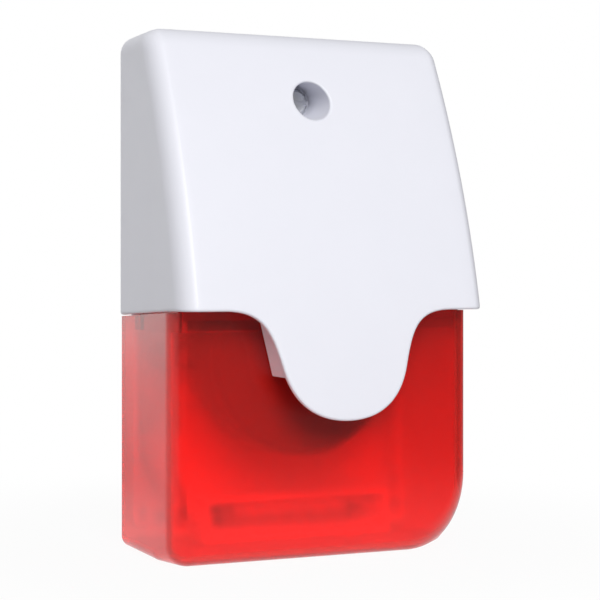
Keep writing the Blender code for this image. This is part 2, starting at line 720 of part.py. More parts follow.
def build_base():
    outline = rounded(-BASE_HALF, BASE_LOW, BASE_HALF, BASE_TOP, BASE_CORNER)
    base = prism("base_plate", "Y", outline, 0.0, -BASE_RIM)
    wall = BASE_RIM_WALL
    half = BASE_HALF - wall
    tray = rounded(-half, BASE_LOW + wall, half, BASE_TOP - wall, BASE_CORNER - wall / 2)
    cut(base, prism("tray", "Y", tray, -BASE_PLATE, -BASE_RIM - SINK))
    for centre, top, radius in base_posts():
        join(base, rod("post", "Y", centre, radius, -BASE_PLATE + SINK, -top, 16))
    join(base, base_hook(-HOOK_X), base_hook(HOOK_X))
    for centre, top, radius in base_posts()[1:]:
        cut(base, pilot(*centre, top, SMALL_LENGTH - BASE_PLATE / 2))
    hole = SCREW_RADIUS + SCREW_PLAY
    cut(base, rod("screw hole", "Y", (0.0, SCREW_Z), hole, -POST_TOP - SINK, -POST_TOP + POST_BORE, 18))
    for side in (-1, 1):
        slot = slot_cut(side * SLOT_X, SLOT_Z, KEYHOLE_NECK, SLOT_HALF_RUN + KEYHOLE_NECK)
        cut(base, keyhole(side * KEYHOLE_X), slot)
    cut(base, slot_cut(-CABLE_X, CABLE_Z, CABLE_HALF_WIDTH, CABLE_HALF_RUN))
    dress(base, WHITE)
    return base


# Horn

def build_horn():
    inner = DRUM_RADIUS - DRUM_WALL
    ledge = inner - LEDGE_WIDTH
    chamber = DRUM_FRONT - DRUM_WALL
    centre = (0.0, HORN_Z)
    profile = [(DRUM_RADIUS - DRUM_CHAMFER, -DRUM_FRONT), (DRUM_RADIUS, -DRUM_FRONT + DRUM_CHAMFER),
               (DRUM_RADIUS, -DRUM_REAR)]
    horn = turned("horn_body", "Y", centre, profile, 40)
    root = DRUM_RADIUS - DRUM_WALL / 2
    for side in (-1, 1):
        lug = arc((LUG_X, LUG_Z), LUG_RADIUS, -90, 90, 8)
        lug += [(root, LUG_Z + LUG_RADIUS), (root, LUG_Z - LUG_RADIUS)]
        lug = [(side * x, z) for x, z in lug]
        join(horn, prism("lug", "Y", lug, -DRUM_REAR - LUG_THICK, -DRUM_REAR - SINK / 2))
    mouth = LENS_DEPTH - LENS_WALL - SEAT
    outline = rounded(-NOZZLE_HALF, NOZZLE_LOW, NOZZLE_HALF, NOZZLE_HIGH, NOZZLE_CORNER)
    join(horn, prism("nozzle", "Y", outline, -chamber - SEAT, -mouth))
    cut(horn, turned("chamber", "Y", centre, [(inner, -chamber), (inner, -LEDGE_DEPTH - LEDGE_THICK)], 40))
    bore = [(ledge, -LEDGE_DEPTH - LEDGE_THICK - SINK), (ledge, -LEDGE_DEPTH), (inner, -LEDGE_DEPTH),
            (inner, -DRUM_REAR + SINK)]
    cut(horn, turned("bore", "Y", centre, bore, 40))
    wall = NOZZLE_WALL
    half = NOZZLE_HALF - wall
    throat = rounded(-half, NOZZLE_LOW + wall, half, NOZZLE_HIGH - wall, NOZZLE_CORNER - wall / 3)
    cut(horn, prism("throat", "Y", throat, -chamber + SINK, -mouth - SINK))
    for side in (-1, 1):
        start, end = -DRUM_REAR - LUG_THICK - SINK, -DRUM_REAR + SINK
        cut(horn, rod("lug hole", "Y", (side * LUG_X, LUG_Z), SMALL_RADIUS + SEAT, start, end, 14))
    dress(horn, DARK)
    return horn


def build_piezo():
    centre = (0.0, HORN_Z)
    radius = DRUM_RADIUS - DRUM_WALL - SEAT
    hole = DRUM_RADIUS - DRUM_WALL - RING_WIDTH
    front = -LEDGE_DEPTH + SEAT
    rear = front + DIAPHRAGM_THICK
    rod("piezo_diaphragm", "Y", centre, radius, front, rear, 40, BRASS)
    rod("piezo_ceramic", "Y", centre, CERAMIC_RADIUS, rear + SEAT, rear + SEAT + CERAMIC_THICK, 32, CERAMIC)
    profile = [(radius, rear + SEAT), (radius, -DRUM_REAR), (hole, -DRUM_REAR), (hole, rear + SEAT)]
    turned("piezo_clamp_ring", "Y", centre, profile, 40, DARK, closed=True)
    for side, word in SIDES:
        small_screw(f"horn_screw_{word}", side * LUG_X, LUG_Z, DRUM_REAR + LUG_THICK + SEAT)


# Board

def on_board(rise):
    """Rear and front places of something that stands on the board."""
    face = -(BOARD_REAR + BOARD_THICK + SEAT)
    return face, face - rise


def build_board():
    outline = rounded(-BOARD_HALF, BOARD_LOW, BOARD_HALF, BOARD_TOP, BOARD_CORNER)
    board = prism("circuit_board", "Y", outline, -BOARD_REAR, -BOARD_REAR - BOARD_THICK)
    past = BOARD_REAR + BOARD_THICK + SINK
    cut(board, rod("post hole", "Y", (0.0, SCREW_Z), POST_RADIUS + SLIP, -past, -BOARD_REAR + SINK, 24))
    number = 0
    for x in (-BOARD_HOLE_X, BOARD_HOLE_X):
        for z in (BOARD_HOLE_LOW, BOARD_HOLE_TOP):
            number += 1
            cut(board, rod("hole", "Y", (x, z), SMALL_RADIUS + SEAT, -past, -BOARD_REAR + SINK, 14))
            small_screw(f"board_screw_{number}", x, z, BOARD_REAR + BOARD_THICK + SEAT)
    dress(board, BOARD)


def build_terminals():
    """A stepped strip with wire entries below and a clamp screw over each."""
    rear, front = on_board(TERMINAL_RISE)
    low, high = TERMINAL_LOW, TERMINAL_LOW + TERMINAL_TALL
    slope = TERMINAL_TALL / 4
    outline = [(rear, low), (front + TERMINAL_STEP, low), (front, low + slope), (front, high - slope),
               (front + TERMINAL_STEP, high), (rear, high)]
    right = TERMINAL_LEFT + TERMINAL_PITCH * TERMINAL_COUNT
    strip = prism("terminal_block", "X", outline, TERMINAL_LEFT, right)
    bed = front + TERMINAL_STEP / 2
    middle = (low + high) / 2
    for i in range(TERMINAL_COUNT):
        x = TERMINAL_LEFT + TERMINAL_PITCH * (i + 0.5)
        radius = TERMINAL_SCREW_RADIUS
        well = rod("well", "Y", (x, middle), radius + SEAT, front - SINK, bed + TERMINAL_STEP / 2, 14)
        entry = (rear + front + TERMINAL_STEP) / 2
        half = TERMINAL_ENTRY
        mouth = box("entry", (x - half, entry - half, low - SINK), (x + half, entry + half, middle))
        cut(strip, well, mouth)
        sizes = (TERMINAL_STEP / 2 - SEAT, radius - SEAT, radius, TERMINAL_SCREW_HEAD)
        screw(f"terminal_screw_{i + 1}", x, middle, -bed, *sizes, STEEL)
    dress(strip, BLUE)


def build_switch():
    rear, front = on_board(SWITCH_RISE)
    x, z = SWITCH_X, SWITCH_Z
    half = SWITCH_HALF
    outline = rounded(x - half, z - half, x + half, z + half, SWITCH_CORNER, 2)
    body = prism("tamper_switch", "Y", outline, rear, front)
    hidden = PLUNGER_HIDDEN + PLUNGER_TRAVEL + SEAT
    cut(body, rod("bore", "Y", (x, z), PLUNGER_RADIUS + SEAT, front - SINK, front + hidden, 18))
    dress(body, DARK)
    tip = front - PLUNGER_REACH
    radius = PLUNGER_RADIUS
    dome = 0.4 * radius
    profile = [(radius - dome, tip), (radius, tip + dome), (radius, front + PLUNGER_HIDDEN)]
    plunger = turned("tamper_plunger", "Y", (x, z), profile, 18, WHITE)
    set_origin(plunger, (x, tip, z))


def build_transformer():
    rear, front = on_board(COIL_RISE)
    x, z = COIL_X, COIL_Z
    wide, tall = COIL_HALF_WIDTH, COIL_HALF_TALL
    outline = rounded(x - wide, z - tall, x + wide, z + tall, COIL_CORNER)
    prism("transformer_winding", "Y", outline, rear, front, TAPE)
    inner = COIL_HALF_WIDTH + SEAT
    outer = inner + CORE_LEG
    yoke = front - SEAT
    outline = [(x - outer, rear), (x - inner, rear), (x - inner, yoke), (x + inner, yoke), (x + inner, rear),
               (x + outer, rear), (x + outer, yoke - CORE_CAP), (x - outer, yoke - CORE_CAP)]
    prism("transformer_core", "Z", outline, z - CORE_HALF_TALL, z + CORE_HALF_TALL, FERRITE)


def can_profile(radius, start, end):
    """A sleeved can with a rolled groove near its start and soft ends."""
    step = CAN_EDGE if end > start else -CAN_EDGE
    drawn = radius - CAN_EDGE
    profile = [(drawn, start), (radius, start + step), (radius, start + 3 * step), (drawn, start + 4 * step),
               (radius, start + 5 * step)]
    return profile + [(radius, end - step), (drawn, end)]


def build_small_parts():
    rear, front = on_board(2 * STROBE_CAP_RADIUS)
    middle = (STROBE_CAP_X, (rear + front) / 2)
    low, high = STROBE_CAP_Z - STROBE_CAP_HALF, STROBE_CAP_Z + STROBE_CAP_HALF
    turned("strobe_capacitor", "Z", middle, can_profile(STROBE_CAP_RADIUS, low, high), 24, SLEEVE)
    rear, front = on_board(FILTER_CAP_RISE)
    profile = can_profile(FILTER_CAP_RADIUS, rear, front)
    turned("filter_capacitor", "Y", (FILTER_CAP_X, FILTER_CAP_Z), profile, 20, SLEEVE)
    rear, front = on_board(CHIP_RISE)
    left, right = CHIP_X - CHIP_HALF_WIDTH, CHIP_X + CHIP_HALF_WIDTH
    outline = rectangle(left, CHIP_Z - CHIP_HALF_TALL, right, CHIP_Z + CHIP_HALF_TALL)
    chip = prism("driver_chip", "Y", outline, rear, front)
    cut(chip, rod("mark", "Y", (left, CHIP_Z), CHIP_MARK, front - SINK, front + CHIP_MARK / 2, 12))
    dress(chip, DARK)
    rear, front = on_board(TRANSISTOR_RISE)
    outline = arc((TRANSISTOR_X, TRANSISTOR_Z), TRANSISTOR_RADIUS, -45, 225, 12)
    prism("switching_transistor", "Y", outline, rear, front, DARK)
    rear, front = on_board(2 * TRIGGER_RADIUS)
    middle = ((rear + front) / 2, TRIGGER_Z)
    profile = can_profile(TRIGGER_RADIUS, TRIGGER_X - TRIGGER_HALF, TRIGGER_X + TRIGGER_HALF)
    turned("trigger_coil", "X", middle, profile, 18, TAPE)


# Flash unit

def trough_outline():
    """Half an ellipse, open to the front, with an even wall."""
    outer, inner = [], []
    depth = TROUGH_MOUTH - TROUGH_REAR
    for u, v in arc((0.0, 0.0), 1.0, -90, 90, 14):
        outer.append((-TROUGH_MOUTH + depth * u, FLASH_Z + TROUGH_RISE * v))
        rise = TROUGH_RISE - TROUGH_WALL
        inner.append((-TROUGH_MOUTH + (depth - TROUGH_WALL) * u, FLASH_Z + rise * v))
    return outer, inner


def build_flash_unit():
    outer, inner = trough_outline()
    trough = prism("strobe_reflector", "X", outer, -TROUGH_HALF, TROUGH_HALF)
    hollow = [(-TROUGH_MOUTH - SINK, inner[0][1])] + inner + [(-TROUGH_MOUTH - SINK, inner[-1][1])]
    cut(trough, prism("hollow", "X", hollow, -TROUGH_HALF + TROUGH_WALL, TROUGH_HALF - TROUGH_WALL))
    axis = (-TUBE_DEPTH, FLASH_Z)
    for side in (-1, 1):
        inside, outside = sorted((side * (TROUGH_HALF - TROUGH_WALL / 2), side * (FOOT_X + FOOT_HALF)))
        foot = rounded(inside, FLASH_Z - FOOT_HALF, outside, FLASH_Z + FOOT_HALF, FOOT_CORNER, 2)
        join(trough, prism("foot", "Y", foot, -TROUGH_REAR - FOOT_THICK, -TROUGH_REAR))
        start, end = sorted((side * (TROUGH_HALF - 2 * TROUGH_WALL), side * CAP_END))
        cut(trough, rod("cap hole", "X", axis, CAP_RADIUS + SEAT, start, end, 16))
        start, end = -TROUGH_REAR - FOOT_THICK - SINK, -TROUGH_REAR + SINK
        cut(trough, rod("foot hole", "Y", (side * FOOT_X, FLASH_Z), SMALL_RADIUS + SEAT, start, end, 14))
    dress(trough, MIRROR)
    profile = []
    for angle in (0, 30, 60, 90):
        turn = math.radians(angle)
        radius = FLASH_RADIUS * (FLASH_END + (1 - FLASH_END) * math.sin(turn))
        profile.append((radius, -FLASH_HALF + FLASH_SHOULDER * (1 - math.cos(turn))))
    profile += [(radius, -along) for radius, along in reversed(profile)]
    turned("flash_tube", "X", axis, profile, 20, GLASS)
    for side, word in SIDES:
        start, end = side * (FLASH_HALF + SEAT), side * CAP_END
        rod(f"flash_tube_cap_{word}", "X", axis, CAP_RADIUS, start, end, 16, STEEL)
        small_screw(f"reflector_screw_{word}", side * FOOT_X, FLASH_Z, TROUGH_REAR + FOOT_THICK + SEAT)


# Leads

def smooth_route(points):
    """Points of a smooth curve through the route's own points."""
    ends = [points[0]] + points + [points[-1]]
    route = []
    for before, start, end, after in zip(ends, ends[1:], ends[2:], ends[3:]):
        for i in range(LEAD_STEPS):
            t = i / LEAD_STEPS
            spot = []
            for a, b, c, d in zip(before, start, end, after):
                square = 2 * a - 5 * b + 4 * c - d
                cube = 3 * b - a - 3 * c + d
                spot.append(0.5 * (2 * b + (c - a) * t + square * t * t + cube * t ** 3))
            route.append(tuple(spot))
    return route + [points[-1]]


def lead(name, points, look):
    route = smooth_route(points)
    curve = bpy.data.curves.new(name, "CURVE")
    curve.dimensions = "3D"
    curve.bevel_depth = LEAD_RADIUS * MM
    curve.bevel_resolution = 1
    curve.use_fill_caps = True
    spline = curve.splines.new("POLY")
    spline.points.add(len(route) - 1)
    for spot, point in zip(spline.points, route):
        spot.co = (*world(point), 1.0)
    guide = bpy.data.objects.new("guide", curve)
    bpy.context.scene.collection.objects.link(guide)
    graph = bpy.context.evaluated_depsgraph_get()
    mesh = bpy.data.meshes.new_from_object(guide.evaluated_get(graph))
    bpy.data.objects.remove(guide)
    finish(name, mesh, look)


def pad_end(x):
    """Last points of a lead, which turns to the front and ends square on the board's rear face."""
    run = -LEAD_DEPTH - 1.0
    return [(x, run, LEAD_PAD - 2.7), (x, run - 0.8, LEAD_PAD - 0.2), (x, -BOARD_REAR + SEAT, LEAD_PAD)]


def build_leads():
    ceramic_face = -(LEDGE_DEPTH - 3 * SEAT - DIAPHRAGM_THICK - CERAMIC_THICK)
    brass_face = -(LEDGE_DEPTH - 2 * SEAT - DIAPHRAGM_THICK)
    run = -LEAD_DEPTH - 1.0
    black_x = -(CERAMIC_RADIUS + DRUM_RADIUS - DRUM_WALL - RING_WIDTH) / 2
    ends = (("piezo_lead_red", RED_X, ceramic_face, RED_PAD_X, LEAD_RED),
            ("piezo_lead_black", black_x, brass_face, BLACK_PAD_X, LEAD_BLACK))
    for name, x, face, pad_x, look in ends:
        third = (pad_x - x) / 3
        points = [(x, face, HORN_Z), (x, -DRUM_REAR, HORN_Z + 0.4), (x, run - 0.8, HORN_Z + 4.0),
                  (x + third, run, HORN_Z + 0.5 * DRUM_RADIUS), (x + 2 * third, run, HORN_Z + DRUM_RADIUS)]
        lead(name, points + pad_end(pad_x), look)
    for side, word, look in ((-1, "left", LEAD_BLACK), (1, "right", LEAD_RED)):
        points = [(CAP_END + SEAT, -TUBE_DEPTH, FLASH_Z), (CAP_END + 1.6, -TUBE_DEPTH, FLASH_Z + 1.1),
                  (LEAD_SIDE - 2.7, 1.6 - TUBE_DEPTH, FLASH_Z + 6.0),
                  (LEAD_SIDE - 0.8, -LEAD_DEPTH - 3.8, FLASH_Z + 11.5),
                  (LEAD_SIDE, -LEAD_DEPTH - 0.6, FLASH_Z + 19.5),
                  (LEAD_SIDE, -LEAD_DEPTH, HORN_Z),
                  (LEAD_SIDE - 0.7, -LEAD_DEPTH, HORN_Z + 16.0),
                  (LEAD_SIDE - 5.0, -LEAD_DEPTH - 0.4, HORN_Z + DRUM_RADIUS + 2.0),
                  (STROBE_PAD_X + 4.5, -LEAD_DEPTH - 0.8, HORN_Z + DRUM_RADIUS + 4.3)]
        points += pad_end(STROBE_PAD_X)
        lead(f"strobe_lead_{word}", [(side * x, y, z) for x, y, z in points], look)


def build():
    for obj in list(bpy.data.objects):
        bpy.data.objects.remove(obj)
    moving = [build_cover(), build_lens(), *build_cover_screw(), *build_lens_screws()]
    hinge = bpy.data.objects.new("cover_hinge", None)
    bpy.context.scene.collection.objects.link(hinge)
    hinge.location = world((0.0, -PIVOT_DEPTH, PIVOT_HEIGHT))
    for piece in moving:
        piece.parent = hinge
        piece.matrix_parent_inverse = Matrix.Translation(-hinge.location)
    build_base()
    build_horn()
    build_piezo()
    build_board()
    build_terminals()
    build_switch()
    build_transformer()
    build_small_parts()
    build_flash_unit()
    build_leads()


build()
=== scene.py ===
"""Looks of the wall siren: fine pieces, materials, light and camera."""
import math

import bmesh
import bpy
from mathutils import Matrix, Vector


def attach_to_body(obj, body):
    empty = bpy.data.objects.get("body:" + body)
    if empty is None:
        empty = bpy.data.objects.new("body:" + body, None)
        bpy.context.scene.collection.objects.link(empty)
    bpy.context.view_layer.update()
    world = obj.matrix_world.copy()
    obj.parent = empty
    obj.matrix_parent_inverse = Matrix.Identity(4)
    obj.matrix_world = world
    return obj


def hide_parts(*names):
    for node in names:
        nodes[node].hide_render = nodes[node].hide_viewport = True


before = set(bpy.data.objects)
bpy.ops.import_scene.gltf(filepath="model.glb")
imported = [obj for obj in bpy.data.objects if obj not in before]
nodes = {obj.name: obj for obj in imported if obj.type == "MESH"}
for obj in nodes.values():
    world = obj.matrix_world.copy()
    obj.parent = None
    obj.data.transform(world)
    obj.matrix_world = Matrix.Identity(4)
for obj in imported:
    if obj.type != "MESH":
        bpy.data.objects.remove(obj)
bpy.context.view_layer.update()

MM = 0.001

# Sizes in millimetres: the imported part's own, with some outer forms closer to the photograph

HEIGHT = 122.0
HALF_WIDTH = 37.8
WALL_GAP = 0.8  # from the wall to the rear edges of cover and lens
COVER_WALL = 2.0
COVER_EDGE = 57.0  # height of the cover's lower edge at the front
SIDE_DROP = 1.6  # how much lower that edge is at the wall
TOP_DEPTH = 20.0
FRONT_RISE = 28.0  # how much deeper the front is at its foot than at the top
FRONT_BULGE = 19.3
FRONT_FOOT = 33.5
FRONT_CORNER = 6.5  # the cover's front corners from above, along the depth
CORNER_ACROSS = 4.0  # and along the width
LEAST_CORNER = 0.4
TOP_EDGE = 4.4
RIM = 0.7  # rounding of the cover's lower edge
TONGUE_TIP = 32.6
WAIST = (15.2, 44.2)  # half width and height where the tongue's side is steepest
WAIST_LEAN = math.radians(15)
TIP_PULL, WAIST_PULL, FLARE_PULL = 0.55, 0.63, 0.7
FLARE_HALF = 28.2  # half width where the tongue's curve meets the level edge
HOOD_FOOT = 42.2  # lower end of the hood's walls, and half width there
HOOD_HALF = 13.9
HOOD_LEAN = math.radians(14)
HOOD_WALL = 1.8
HOOD_EDGE = 0.35
SOFFIT_RISE = 0.12
BITE = 1.0  # how far a joined piece reaches into the one that carries it
PAST = 0.6  # how far a cut runs past the wall that it opens
SCREW_Z = 106.0
SCREW_TUBE = (6.3, 13.0)  # radius and rear end
RECESS_RADIUS = 4.3
RECESS_Z = 105.5  # middle of the recess at the front, where it is wider
RECESS_MOUTH = 4.6
RECESS_LIP = 0.6
CUP_RADIUS = 5.6
CUP_STEP = 0.15
CUP_REAR = 12.9
SEAT_DEPTH = 16.0  # where the screw's head rests
SEAT_EDGE = 0.4
SCREW_HOLE = 2.05
RETAINER_ROOM = (3.5, 14.0)  # radius and front end
EAR_X, EAR_Z = 30.0, 64.0  # screws that hold the lens
BOSS_RADIUS = 3.0
BOSS_FRONT, BOSS_REAR = 41.0, 14.3
PILOT_RADIUS = 1.4
PILOT_END = 20.8
BORE_FRONT = 60.0  # well in front of the cover
PUSHER = (14.0, 83.0)  # the post that presses the tamper plunger
PUSHER_RADIUS = 2.4
PUSHER_FRONT, PUSHER_REAR = 35.2, 21.2
LENS_HALF = 37.5
LENS_DEPTH = 36.2
LENS_WALL = 2.0
LENS_EDGE = 5.0
LENS_GAP = 0.3  # between the lens and the cover
SIDE_EDGE = 0.64  # share of the front edge's rounding that the sides get
REAR_CORNER = 2.6
FACE_CORNERS = {-1: 6.5, 1: 20.0}
CORNER_START = 22.6  # depth from which the lens's lower corners grow
LEAST_LENS_CORNER = 0.8
REAR_DEPTHS = (6.0, 12.0, 18.0)
SLIDE_OUT, SLIDE_NEAR = 35.5, 16.0  # rims that slide into the cover
SLIDE_FRONT, SLIDE_REAR = 33.9, 9.0
SLIDE_WALL = 1.5
SLIDE_RISE, SLIDE_ROOT = 4.0, 4.5
ROOT_INSET = 0.3
ROOT_TOP = 1.9
ROOT_CORNER = 4.0
EAR_NEAR, EAR_FAR = 25.4, 35.2
EAR_LOW, EAR_TOP = 51.7, 69.0
EAR_CORNER = 1.5
EAR_FRONT, EAR_REAR = 14.0, 11.5
WINDOW_HALF = 9.7  # the sound outlet behind the hood
WINDOW_LOW, WINDOW_TOP = 44.2, 55.0
HOOK_X, HOOK_HALF = 18.0, 5.0  # slots for the base's hooks
HOOK_FRONT, HOOK_REAR = 10.0, 4.2

# Counts of steps along the meshes

CURVE_STEPS = 30
FLAT_STEPS = 3
CORNER_STEPS = 14
SIDE_STEPS = 12
UP_STEPS = 44
TOP_STEPS = 9
RIM_STEPS = 4
SOFFIT_STEPS = 10
LIP_STEPS = 6
LENS_UP_STEPS = 6
LENS_CORNER_STEPS = 20
LENS_DEPTH_STEPS = 14
LENS_EDGE_STEPS = 12
TUBE_SIDES = 64
CUP_SIDES = 96
HOLE_SIDES = 32

# Limits of the mesh work

BEVEL_ANGLE = math.radians(30)
CRISP_ANGLE = math.radians(32)
SLIVER = 0.0001
WELD = 0.002


def place(x, y, z):
    """Metres in the frame, from millimetres with heights counted from the siren's lowest point."""
    return Vector((x, y, z - HEIGHT / 2)) * MM


def front_depth(height):
    """Depth of the cover's front, from the wall, at a height."""
    t = (HEIGHT - height) / (HEIGHT - FRONT_FOOT)
    return TOP_DEPTH + FRONT_RISE * t + FRONT_BULGE * t * (1 - t)


def edge_height(depth):
    """Height of the cover's lower edge at a depth."""
    return COVER_EDGE - SIDE_DROP * max(1 - depth / LENS_DEPTH, 0.0)


def spread(start, end, count):
    return [start + (end - start) * i / count for i in range(count + 1)]


def quarter(count):
    """Angles from 0 to a quarter turn."""
    return [math.radians(angle) for angle in spread(0, 90, count)]


def circle(sides):
    """Angles of a full turn."""
    return [2 * math.pi * i / sides for i in range(sides)]


# Mesh helpers

def mesh_object(name, points, faces):
    mesh = bpy.data.meshes.new(name)
    mesh.from_pydata([place(*point) for point in points], [], faces)
    bm = bmesh.new()
    bm.from_mesh(mesh)
    bmesh.ops.recalc_face_normals(bm, faces=bm.faces)
    bm.to_mesh(mesh)
    bm.free()
    thing = bpy.data.objects.new(name, mesh)
    bpy.context.scene.collection.objects.link(thing)
    return thing


def band(first, second, size, closed):
    """Quads between two rows of points that start at the given places."""
    faces = []
    for i in range(size if closed else size - 1):
        after = (i + 1) % size
        faces.append((first + i, first + after, second + after, second + i))
    return faces


def rings_body(rings, closed_ends=True):
    """Points and faces of a body through rings of equal length.

    Without closed ends, the last ring meets the first.
    """
    size = len(rings[0])
    rows = len(rings) - 1 if closed_ends else len(rings)
    faces = []
    for row in range(rows):
        faces += band(row * size, (row + 1) % len(rings) * size, size, True)
    if closed_ends:
        faces.append(tuple(range(size)))
        faces.append(tuple(range((len(rings) - 1) * size, len(rings) * size)))
    return [point for ring in rings for point in ring], faces


def on_axis(axis, u, v, along):
    """A point by its place across an axis X, Y or Z and its place along it."""
    return {"X": (along, u, v), "Y": (u, along, v), "Z": (u, v, along)}[axis]


def turned(profile, centre, axis, sides=32, closed_ends=True):
    """A body turned from (radius, along) pairs round an axis at a centre."""
    rings = []
    for radius, along in profile:
        ring = []
        for turn in circle(sides):
            u, v = centre[0] + radius * math.cos(turn), centre[1] + radius * math.sin(turn)
            ring.append(on_axis(axis, u, v, along))
        rings.append(ring)
    return rings_body(rings, closed_ends)


def skin(name, rings):
    """A closed piece through rings of equal length."""
    return mesh_object(name, *rings_body(rings))


def rod(name, centre, radius, start, end, sides=48):
    """A round piece along the depth of the siren."""
    return mesh_object(name, *turned([(radius, start), (radius, end)], centre, "Y", sides))


def block(name, low, high):
    corners = [(low[0], low[1]), (high[0], low[1]), (high[0], high[1]), (low[0], high[1])]
    return skin(name, [[(x, y, z) for x, y in corners] for z in (low[2], high[2])])


def plate(name, outline, low, high):
    """A level plate from an outline seen from above."""
    return skin(name, [[(x, y, z) for x, y in outline] for z in (low, high)])


def soften(thing, width):
    """Round a piece's sharp edges by a width in millimetres."""
    bm = bmesh.new()
    bm.from_mesh(thing.data)
    edges = [edge for edge in bm.edges if len(edge.link_faces) == 2]
    sharp = [edge for edge in edges if edge.calc_face_angle(0.0) > BEVEL_ANGLE]
    bmesh.ops.bevel(bm, geom=sharp, offset=width * MM, segments=2, profile=0.5, affect="EDGES")
    bm.to_mesh(thing.data)
    bm.free()
    return thing


def combine(target, operation, tools):
    """Join pieces to a target, or cut them from it, and remove them."""
    for tool in tools:
        modifier = target.modifiers.new("combine", "BOOLEAN")
        modifier.operation = operation
        modifier.solver = "EXACT"
        modifier.object = tool
    graph = bpy.context.evaluated_depsgraph_get()
    mesh = bpy.data.meshes.new_from_object(target.evaluated_get(graph))
    target.modifiers.clear()
    target.data = mesh
    for tool in tools:
        bpy.data.objects.remove(tool, do_unlink=True)


def shade(thing):
    """Smooth shading, with the sharper edges kept crisp."""
    bm = bmesh.new()
    bm.from_mesh(thing.data)
    bmesh.ops.dissolve_degenerate(bm, edges=bm.edges, dist=SLIVER * MM)
    for face in bm.faces:
        face.smooth = True
    for edge in bm.edges:
        edge.smooth = len(edge.link_faces) == 2 and edge.calc_face_angle(0.0) < CRISP_ANGLE
    bm.to_mesh(thing.data)
    bm.free()


def even_light(thing):
    """Large faces lead the shading, so that slivers along a cut don't show."""
    modifier = thing.modifiers.new("even light", "WEIGHTED_NORMAL")
    modifier.keep_sharp = True
    modifier.weight = 50


# Cover

def bezier(a, b, c, d, count):
    points = []
    for i in range(count + 1):
        t = i / count
        weights = ((1 - t) ** 3, 3 * t * (1 - t) ** 2, 3 * t * t * (1 - t), t ** 3)
        points.append(tuple(sum(w * p[k] for w, p in zip(weights, (a, b, c, d))) for k in (0, 1)))
    return points


def tongue_edge():
    """The right half of the cover's lower edge, from the tip of the tongue outwards."""
    tip = (0.0, TONGUE_TIP)
    flare = (FLARE_HALF, COVER_EDGE)
    tip_pull = TIP_PULL * WAIST[0]
    waist_pull = WAIST_PULL * (WAIST[1] - tip[1])
    flare_pull = FLARE_PULL * (flare[1] - WAIST[1])
    lean = (math.sin(WAIST_LEAN), math.cos(WAIST_LEAN))
    below = (WAIST[0] - waist_pull * lean[0], WAIST[1] - waist_pull * lean[1])
    above = (WAIST[0] + flare_pull * lean[0], WAIST[1] + flare_pull * lean[1])
    points = bezier(tip, (tip_pull, tip[1]), below, WAIST, CURVE_STEPS)
    points += bezier(WAIST, above, (flare[0] - flare_pull, flare[1]), flare, CURVE_STEPS)[1:]
    end = HALF_WIDTH - TOP_EDGE - LEAST_CORNER
    return points + [(x, COVER_EDGE) for x in spread(FLARE_HALF, end, FLAT_STEPS)[1:]]


def front_columns():
    """Columns of the front from left to right, each with its way from the edge into the plate."""
    edge = tongue_edge()
    half = []
    for i, point in enumerate(edge):
        before = edge[i - 1] if i else (-edge[1][0], edge[1][1])
        after = edge[min(i + 1, len(edge) - 1)]
        along = Vector((after[0] - before[0], after[1] - before[1])).normalized()
        half.append((point, (-along.y, along.x)))
    left = [((-point[0], point[1]), (-way[0], way[1])) for point, way in reversed(half[1:])]
    return [("front", 0, point, way) for point, way in left + half]


def side_columns(side):
    """Columns of one side from the front corner back to the wall."""
    columns = []
    for turn in quarter(CORNER_STEPS)[1:]:
        columns.append(("corner", side, (turn, COVER_EDGE), (0.0, 1.0)))
    for share in spread(0, 1, SIDE_STEPS)[1:]:
        depth = (1 - share) * (front_depth(COVER_EDGE) - FRONT_CORNER) + share * WALL_GAP
        columns.append(("side", side, (share, edge_height(depth)), (0.0, 1.0)))
    return columns


def cover_point(kind, side, along, height, inset):
    """A point of the cover's skin, moved into the wall by an inset."""
    front = -front_depth(height)
    if kind == "front":
        return (along, front + inset, height)
    if kind == "corner":
        across = max(CORNER_ACROSS - inset, LEAST_CORNER)
        back = max(FRONT_CORNER - inset, LEAST_CORNER)
        x = HALF_WIDTH - inset - across + across * math.sin(along)
        return (side * x, front + inset + back - back * math.cos(along), height)
    start = front + FRONT_CORNER
    return (side * (HALF_WIDTH - inset), start + (-WALL_GAP - start) * along, height)


def cover_column(column):
    """One column of the shell: down its inside, round the rim and up its outside."""
    kind, side, (along, low), (across, up) = column
    inner, outer, rim = [], [], []
    start = low + RIM * up
    line = (kind, side, along + RIM * across)
    ceiling = HEIGHT - COVER_WALL
    shoulder = HEIGHT - TOP_EDGE
    for share in spread(0, 1, UP_STEPS):
        inner.append(cover_point(*line, start + (ceiling - start) * share, COVER_WALL))
        outer.append(cover_point(*line, start + (shoulder - start) * share, 0.0))
    for turn in quarter(TOP_STEPS)[1:]:
        height = HEIGHT - TOP_EDGE * (1 - math.sin(turn))
        outer.append(cover_point(*line, height, TOP_EDGE * (1 - math.cos(turn))))
    for turn in quarter(RIM_STEPS)[1:]:
        reach = RIM * (1 - math.sin(turn))
        spot = (along + reach * across, low + reach * up)
        rim.append((spot, RIM * (1 - math.cos(turn))))
    inside = [cover_point(kind, side, *spot, COVER_WALL - inset) for spot, inset in rim]
    outside = [cover_point(kind, side, *spot, inset) for spot, inset in reversed(rim)]
    return list(reversed(inner)) + inside + outside + outer


